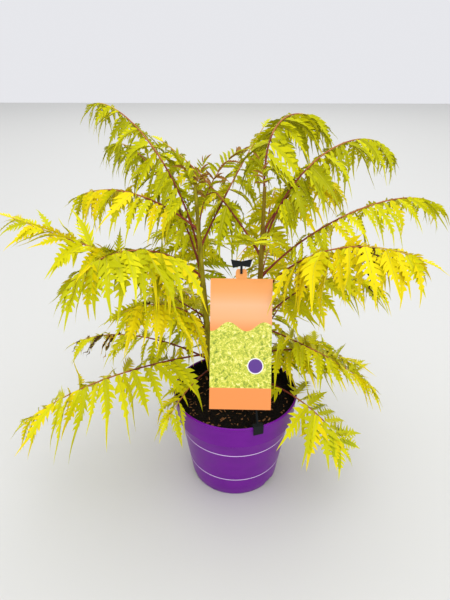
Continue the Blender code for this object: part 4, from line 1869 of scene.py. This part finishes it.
@dataclass
class Bark:
    """A stem's round body with lengthwise relief, leaf scars and short velvet hairs.

    scar, scar_rise: half the height of the swelling below a frond, and how far it stands
    out as a share of the radius. core, relief: the share of the radius that is always
    filled, and the share that the grain adds. grain_turns, grain_rows: its frequency
    around and along. sunk: how far the cut lies in the mix. bare: the length of the stem
    without hairs. hair: a hair's radius, length and middle. hairs_density: on a square
    metre.
    """

    stem: Stem
    rings: int = 190
    sides: int = 26
    scar: float = 0.006
    scar_reach: float = 3.0
    scar_rise: float = 0.30
    core: float = 0.985
    relief: float = 0.05
    grain_turns: float = 2.2
    grain_rows: float = 26.0
    seed_step: float = 90.0
    sunk: float = 0.002
    crease: float = 70.0
    bare: float = 0.14
    hair: Triple = (0.00008, 0.0024, 0.0011)
    hairs_density: float = 420000.0
    hair_scales: Pair = (0.5, 1.1)
    hair_lean: float = 0.5
    hair_seed: int = 11

    def corner(self, height: float, turn: float, seed: float) -> Vector:
        """A point on the stem's relief.

        Args:
            height: above the ground, in metres.
            turn: the angle about the stem, in radians.
            seed: a shift into the grain.

        Returns:
            The point.
        """
        stem = self.stem
        middle = stem.point(height)
        radius = stem.radius(height)
        way = Vector((math.cos(turn), math.sin(turn), 0.0))
        around = self.grain_turns
        spot = (math.cos(turn) * around, math.sin(turn) * around, height * self.grain_rows + seed)
        grain = noise.fractal(Vector(spot), 1.0, 2.0, 4)
        swell = 0.0
        for frond in stem.fronds:
            near = (height - frond.height) / self.scar
            facing = math.cos(turn - math.radians(frond.heading))
            if abs(near) < self.scar_reach and facing > 0.0:
                swell += self.scar_rise * math.exp(-(near**2)) * facing**2
        return middle + way * radius * (self.core + self.relief * grain + swell)

    def build(self) -> Object:
        """Sweep the relief from the flat cut to the closed tip.

        Returns:
            The piece.
        """
        stem = self.stem
        start = stem.mix_top - self.sunk
        corners, faces = [], []
        for ring in range(self.rings + 1):
            height = start + (stem.top - start) * ring / self.rings
            for i in range(self.sides):
                turn = 2 * math.pi * i / self.sides
                corners.append(self.corner(height, turn, stem.foot_x * self.seed_step))
        for ring in range(self.rings):
            for i in range(self.sides):
                a, b = ring * self.sides + i, ring * self.sides + (i + 1) % self.sides
                faces.append((a, b, b + self.sides, a + self.sides))
        faces.append(tuple(range(self.sides))[::-1])
        faces.append(tuple(range(self.rings * self.sides, (self.rings + 1) * self.sides)))
        finish = BARK if stem.side == "left" else YOUNG_BARK
        body = add_mesh(f"bark_{stem.side}", corners, faces, finish.material())
        mount(round_off(body, self.crease), "stem_olive", f"stem_{stem.side}")
        self.hairs(body)
        return body

    def hairs(self, body: Object) -> Object:
        """Short hairs on the stem above its bare part, by the scatter graph.

        Args:
            body: the stem's bark.

        Returns:
            The piece.
        """
        radius, length, middle = self.hair
        work = bmesh.new()
        bmesh.ops.create_cone(
            work, segments=3, radius1=radius, radius2=0.0, depth=length, cap_ends=False
        )
        bmesh.ops.translate(work, verts=work.verts, vec=(0.0, 0.0, middle))
        hair = bpy.data.collections.new("hair_pieces")
        hair.objects.link(free_object("hair", work))
        kept = [v.co.copy() for v in body.data.vertices]
        lowest = self.stem.mix_top + self.bare
        sides = [f for f in body.data.polygons if len(f.vertices) == 4]
        upper = [tuple(f.vertices) for f in sides if f.center.z > lowest]
        base = add_mesh(f"velvet_{self.stem.side}", kept, upper)
        scatter_graph("velvet_graph").run(
            base,
            Pieces=hair,
            Density=self.hairs_density,
            Smallest=self.hair_scales[0],
            Largest=self.hair_scales[1],
            Lean=self.hair_lean,
            Seed=self.hair_seed,
            Finish=FUZZ.material(),
        )
        drop_collection(hair)
        return mount(base, "stem_olive")


@dataclass
class Card:
    """The card with a hanging tab and a curled corner, leaning back before the stems.

    foot: the middle of its lower edge. lean: in degrees. curl, curl_from, curl_gain: how
    far the corner curls, from which shares across and up, and how fast. hole_share: the
    hole's place on the tab. tab_lap: how far the tab goes below the card's upper edge.
    tab_corner, tab_caps: where the tab's round corners begin, and how far it reaches to
    the sides and to the top, as shares of half its width.
    """

    width: float = 0.104
    length: float = 0.221
    thick: float = 0.0006
    foot: Triple = (0.0085, -0.102, 0.221)
    lean: float = 24.6
    tab_width: float = 0.019
    tab_length: float = 0.016
    tab_offset: float = -0.0005
    hole_radius: float = 0.0021
    curl: float = 0.0030
    curl_from: Pair = (0.35, 0.80)
    curl_gain: float = 6.0
    columns: int = 26
    rows: int = 44
    tab_steps: int = 28
    hole_share: float = 0.62
    tab_lap: float = 0.0004
    tab_corner: float = 0.6
    tab_caps: Pair = (0.98, 1.2)
    crease: float = 40.0

    def matrix(self) -> Matrix:
        """The card's frame: X to its right, Y up along it, Z to its front.

        Returns:
            The frame as a matrix.
        """
        lean = math.radians(self.lean)
        right = Vector((1.0, 0.0, 0.0))
        up = Vector((0.0, math.sin(lean), math.cos(lean)))
        turn = Matrix((right, up, right.cross(up))).transposed().to_4x4()
        return Matrix.Translation(self.foot) @ turn

    def lift(self, x: float, y: float) -> float:
        """How far the sheet stands off its plane: the top right corner curls forward.

        Args:
            x: in metres.
            y: in metres.

        Returns:
            The distance in metres.
        """
        across, up = self.curl_from
        corner = max(0.0, x / (self.width / 2) - across) * max(0.0, y / self.length - up)
        return self.curl * corner * self.curl_gain

    def build(self) -> Object:
        """Lay out the sheet and its tab, punch the hole and give it thickness.

        Returns:
            The piece.
        """
        columns, rows = self.columns, self.rows
        corners, faces = [], []
        for row in range(rows + 1):
            for column in range(columns + 1):
                x = self.width * (column / columns - 0.5)
                y = self.length * row / rows
                corners.append(Vector((x, y, self.lift(x, y))))
        for row in range(rows):
            for column in range(columns):
                a = row * (columns + 1) + column
                faces.append((a, a + 1, a + columns + 2, a + columns + 1))
        self.add_tab(corners, faces)
        sheet = add_mesh("printed_card", corners, faces, CARD.material())
        self.map_print(sheet)
        solid = sheet.modifiers.new("thickness", "SOLIDIFY")
        solid.thickness, solid.offset = self.thick, 0.0
        sheet.matrix_world = self.matrix()
        settle(sheet)
        return mount(round_off(sheet, self.crease), "card_orange", "picture_card")

    def add_tab(self, corners: list[Vector], faces: list[tuple[int, ...]]) -> None:
        """The tab's ring of faces from its hole to its rounded outline.

        Args:
            corners: the points, which the tab adds to.
            faces: the faces, which the tab adds to.
        """
        steps = self.tab_steps
        hole_y = self.length + self.tab_length * self.hole_share
        half, top = self.tab_width / 2, self.length + self.tab_length
        start = len(corners)
        for i in range(steps):
            turn = 2 * math.pi * (i + 0.5) / steps
            way = Vector((math.cos(turn), math.sin(turn), 0.0))
            middle = Vector((self.tab_offset, hole_y, 0.0))
            room = (top - hole_y) if way.y > 0 else (hole_y - self.length + self.tab_lap)
            reach = min(half / max(abs(way.x), TINY), room / max(abs(way.y), TINY))
            if way.y > 0:
                reach = min(reach, half * self.tab_caps[0 if abs(way.x) > self.tab_corner else 1])
            corners.append(middle + way * self.hole_radius)
            corners.append(middle + way * reach)
        for i in range(steps):
            a, b = start + 2 * i, start + 2 * ((i + 1) % steps)
            faces.append((a, a + 1, b + 1, b))

    def map_print(self, sheet: Object) -> None:
        """Give the card a UV map across its width and up its length.

        Args:
            sheet: the flat card.
        """
        layer = sheet.data.uv_layers.new(name="print")
        for loop in sheet.data.loops:
            spot = sheet.data.vertices[loop.vertex_index].co
            layer.data[loop.index].uv = (spot.x / self.width + 0.5, spot.y / self.length)


@dataclass
class Crown:
    """All fronds of both stems: midribs, leaflet blades and leaflet ribs.

    Rooms are the least distances, in metres, that leaflets keep. fill: the height up to
    which no leaflet hangs inside the pot. clip_room: from the tab's plane forward, to the
    side and along the card. spans: each midrib colour's shares of the length. tip_share:
    of the last leaflet that the midrib leaves bare. slim_below: the frond length below
    which midribs are thinner. midrib_girth, taper: a midrib's radius at its foot, and
    what it loses to its tip. knuckle, knuckle_share: the swelling at a frond's foot.
    """

    seed: int = 20
    probes: int = 8
    ground_room: float = 0.004
    stem_room: float = 0.002
    rim_room: Pair = (0.002, 0.003)
    wall_room: float = 0.008
    fill: float = 0.176
    card_room: float = 0.003
    clip_room: Triple = (0.25, 0.050, 0.045)
    spans: tuple[Pair, ...] = ((0.0, 0.40), (0.39, 0.74), (0.73, 1.0))
    tip_share: float = 0.9
    slim_below: float = 0.26
    midrib_steps: int = 26
    midrib_sides: int = 9
    midrib_girth: float = 0.0018
    taper: float = 0.0011
    knuckle: float = 0.0016
    knuckle_share: float = 0.05
    pot: Pot = field(default_factory=Pot)
    card: Card = field(default_factory=Card)
    fronds: list[GrownFrond] = field(default_factory=list)

    def grow(self) -> list[Leaflet]:
        """Grow every frond and drop leaflets that would touch a rigid part.

        Returns:
            The leaflets that are left.
        """
        kept = []
        for stem in STEMS:
            for frond in stem.fronds:
                grown = GrownFrond(frond, stem, self.seed + len(self.fronds))
                self.fronds.append(grown)
                kept += [leaflet for leaflet in grown.leaflets() if self.clear(leaflet)]
        return kept

    def clear(self, leaflet: Leaflet) -> bool:
        """Whether a leaflet keeps clear of the ground, the stems, the pot, the card and its clip.

        Args:
            leaflet: the leaflet.

        Returns:
            True where all of it is clear.
        """
        to_card = self.card.matrix().inverted()
        for step in range(1, self.probes + 1):
            spot = leaflet.point(step / self.probes)
            if spot.z < self.ground_room or self.in_pot(spot) or self.at_card(to_card @ spot):
                return False
            if step > 1 and self.at_stem(spot):
                return False
        return True

    def at_stem(self, spot: Vector) -> bool:
        """Whether a point is too near to a stem.

        Args:
            spot: the point.

        Returns:
            True where it is.
        """
        for stem in STEMS:
            if spot.z < stem.top:
                axis = stem.point(max(spot.z, stem.mix_top))
                if (spot - axis).to_2d().length < stem.radius(spot.z) + self.stem_room:
                    return True
        return False

    def in_pot(self, spot: Vector) -> bool:
        """Whether a point is in the pot's wall or mix, or too near to them.

        Args:
            spot: the point.

        Returns:
            True where it is.
        """
        reach = math.hypot(spot.x, spot.y)
        above, outside = self.rim_room
        if spot.z >= self.pot.height + above or reach >= self.pot.rim + outside:
            return False
        return spot.z < self.fill or reach > self.pot.rim - self.wall_room

    def at_card(self, flat: Vector) -> bool:
        """Whether a point in the card's frame is on the card or in front of its clip.

        Args:
            flat: the point in the card's frame.

        Returns:
            True where it is.
        """
        side, length = abs(flat.x), self.card.length
        if abs(flat.z) < self.card_room and side < self.card.width / 2 and 0.0 < flat.y < length:
            return True
        front, across, along = self.clip_room
        return 0.0 < flat.z < front and side < across and abs(flat.y - length) < along

    def nodes(self) -> list[str]:
        """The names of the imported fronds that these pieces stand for."""
        counts = [(stem.side, len(stem.fronds)) for stem in STEMS]
        return [f"frond_{side}_{i:02d}" for side, count in counts for i in range(1, count + 1)]

    def build(self) -> None:
        """Build the midribs, the blades of each tone and the ribs."""
        leaflets = self.grow()
        LOG.info("%d leaflets", len(leaflets))
        self.build_midribs()
        graph = leaflet_graph()
        outlines = {layer: pattern_collection(layer) for layer in Layer}
        for tone in Tone:
            middles = [leaflet for leaflet in leaflets if leaflet.tone is tone]
            rims = [leaflet for leaflet in leaflets if leaflet.edge is tone]
            finish = BLADES[tone].material()
            parts = []
            for layer, dealt in ((Layer.BODY, middles), (Layer.LOBES, rims)):
                if dealt:
                    name = f"{layer.value}_{tone.value}"
                    parts.append(self.spread(name, dealt, graph, outlines[layer], finish))
            if parts:
                mount(join(f"leaflets_{tone.value}", parts), "leaf_gold", *self.nodes())
        piece = self.spread("leaflet_ribs", leaflets, graph, outlines[Layer.RIB], RIB_PALE.material())
        mount(piece, "leaf_gold", *self.nodes())
        for group in outlines.values():
            drop_collection(group)

    def spread(
        self, name: str, leaflets: list[Leaflet], graph: Graph, patterns: Collection, finish: Material
    ) -> Object:
        """Run the leaflet graph on the given leaflets.

        Args:
            name: the object's name.
            leaflets: the leaflets to set out.
            graph: the leaflet graph.
            patterns: the outlines that it picks from.
            finish: the material.

        Returns:
            The finished mesh object.
        """
        base = cloud(
            name,
            [leaflet.root for leaflet in leaflets],
            shape=[leaflet.shape.value for leaflet in leaflets],
            turn=[Vector(leaflet.frame().to_euler()) for leaflet in leaflets],
            size=[Vector((one.length, one.length * one.broad, one.length)) for one in leaflets],
            bend=[leaflet.bend() for leaflet in leaflets],
        )
        return graph.run(base, Patterns=patterns, Finish=finish)

    def build_midribs(self) -> None:
        """Sweep the midribs, parted into their red foot, their middle and their straw tip."""
        graph = twig_graph()
        for flesh, (low, high) in zip(Flesh, self.spans):
            spots, girths, edges = [], [], []
            for grown in self.fronds:
                last = grown.size(1.0) * grown.terminal_share
                end = 1.0 - last * self.tip_share / grown.frond.length
                slim = min(1.0, grown.frond.length / self.slim_below)
                steps = round((high - low) * self.midrib_steps)
                for i in range(steps + 1):
                    share = (low + (high - low) * i / steps) * end
                    spots.append(grown.along(share)[0])
                    knuckle = self.knuckle * max(0.0, 1.0 - share / self.knuckle_share)
                    girths.append(slim * (self.midrib_girth - self.taper * share) + knuckle)
                    if i:
                        edges.append((len(spots) - 2, len(spots) - 1))
            mesh = bpy.data.meshes.new(f"midribs_{flesh.value}")
            mesh.from_pydata(spots, edges, [])
            layer = mesh.attributes.new("girth", "FLOAT", "POINT")
            for item, girth in zip(layer.data, girths):
                item.value = girth
            piece = link_object(mesh.name, mesh)
            graph.run(piece, Sides=self.midrib_sides, Finish=MIDRIBS[flesh].material())
            mount(piece, "leaf_gold", *self.nodes())


@dataclass(frozen=True)
class Panel:
    """A square soft light: its place, what it is aimed at, its side in metres, its watts."""

    name: str
    place: Triple
    target: Triple
    side: float
    power: float


PANELS = (
    Panel("overhead_panel", (0.1, -0.3, 3.4), (0.0, 0.0, 0.3), 4.0, 54.0),
    Panel("front_panel", (0.5, -2.2, 1.7), (0.0, 0.0, 0.25), 1.6, 16.0),
    Panel("rear_panel", (0.0, 4.6, 4.0), (0.0, 4.4, 0.0), 6.0, 110.0),
)


@dataclass
class Studio:
    """A pale floor, a pale surround, soft lights and the camera of the photograph.

    lens, sensor: the camera's focal length and its sensor's width, in millimetres.
    """

    location: Triple = (0.002, -0.746, 0.751)
    forward: Triple = (-0.0259, 0.8934, -0.4486)
    right: Triple = (0.9996, 0.0290, 0.0)
    lens: float = 28.87
    sensor: float = 36.0
    floor_half: float = 9.0
    floor_roughness: float = 0.6
    floor_colour: Colour = (0.625, 0.625, 0.60)
    surround: Colour = (0.83, 0.835, 0.87)
    surround_strength: float = 0.96

    def build(self) -> None:
        """Set up the floor, the world, the lights and the camera."""
        self.build_camera()
        self.build_world()
        self.build_lights()
        half = self.floor_half
        corners = [(-half, -half, 0.0), (half, -half, 0.0), (half, half, 0.0), (-half, half, 0.0)]
        floor = add_mesh("studio_floor", corners, [(0, 1, 2, 3)])
        made, shader = principled("floor_pale", self.floor_roughness)
        shader.inputs["Base Color"].default_value = (*self.floor_colour, 1.0)
        floor.data.materials.append(made)

    def build_camera(self) -> None:
        """Place the camera where the photograph was taken."""
        forward = Vector(self.forward).normalized()
        right = Vector(self.right).normalized()
        up = right.cross(forward).normalized()
        data = bpy.data.cameras.new("photo_camera")
        data.sensor_fit = "AUTO"
        data.sensor_width = self.sensor
        data.lens = self.lens
        camera = bpy.data.objects.new("photo_camera", data)
        turn = Matrix((right, up, -forward)).transposed().to_4x4()
        camera.matrix_world = Matrix.Translation(self.location) @ turn
        bpy.context.scene.collection.objects.link(camera)
        bpy.context.scene.camera = camera

    def build_world(self) -> None:
        """Fill the surround with a plain pale light."""
        world = bpy.data.worlds.new("studio_surround")
        world.use_nodes = True
        backdrop = world.node_tree.nodes["Background"]
        backdrop.inputs["Color"].default_value = (*self.surround, 1.0)
        backdrop.inputs["Strength"].default_value = self.surround_strength
        bpy.context.scene.world = world
        bpy.context.scene.view_settings.view_transform = "Standard"

    def build_lights(self) -> None:
        """Hang a broad soft panel overhead, one over the far floor and a weaker one at the front."""
        for panel in PANELS:
            data = bpy.data.lights.new(panel.name, "AREA")
            data.size, data.energy = panel.side, panel.power
            light = bpy.data.objects.new(panel.name, data)
            aim = (Vector(panel.target) - Vector(panel.place)).to_track_quat("-Z", "Y")
            light.matrix_world = Matrix.Translation(panel.place) @ aim.to_matrix().to_4x4()
            bpy.context.scene.collection.objects.link(light)


def dress_holder(frame: dict) -> None:
    """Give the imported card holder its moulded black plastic.
    """
    holder = frame["nodes"]["card_holder"]
    holder.data.materials.clear()
    holder.data.materials.append(BLACK.material())


def main() -> None:
    """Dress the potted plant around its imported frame."""
    logging.basicConfig(level=logging.INFO)
    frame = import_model()
    Studio().build()
    pot = Pot()
    pot.build()
    pot.build_lines()
    pot.build_lining()
    PottingMix().build()
    for stem in STEMS:
        Bark(stem).build()
    card = Card()
    card.build()
    dress_holder(frame)
    Crown(pot=pot, card=card).build()


if __name__ == "__main__":
    main()
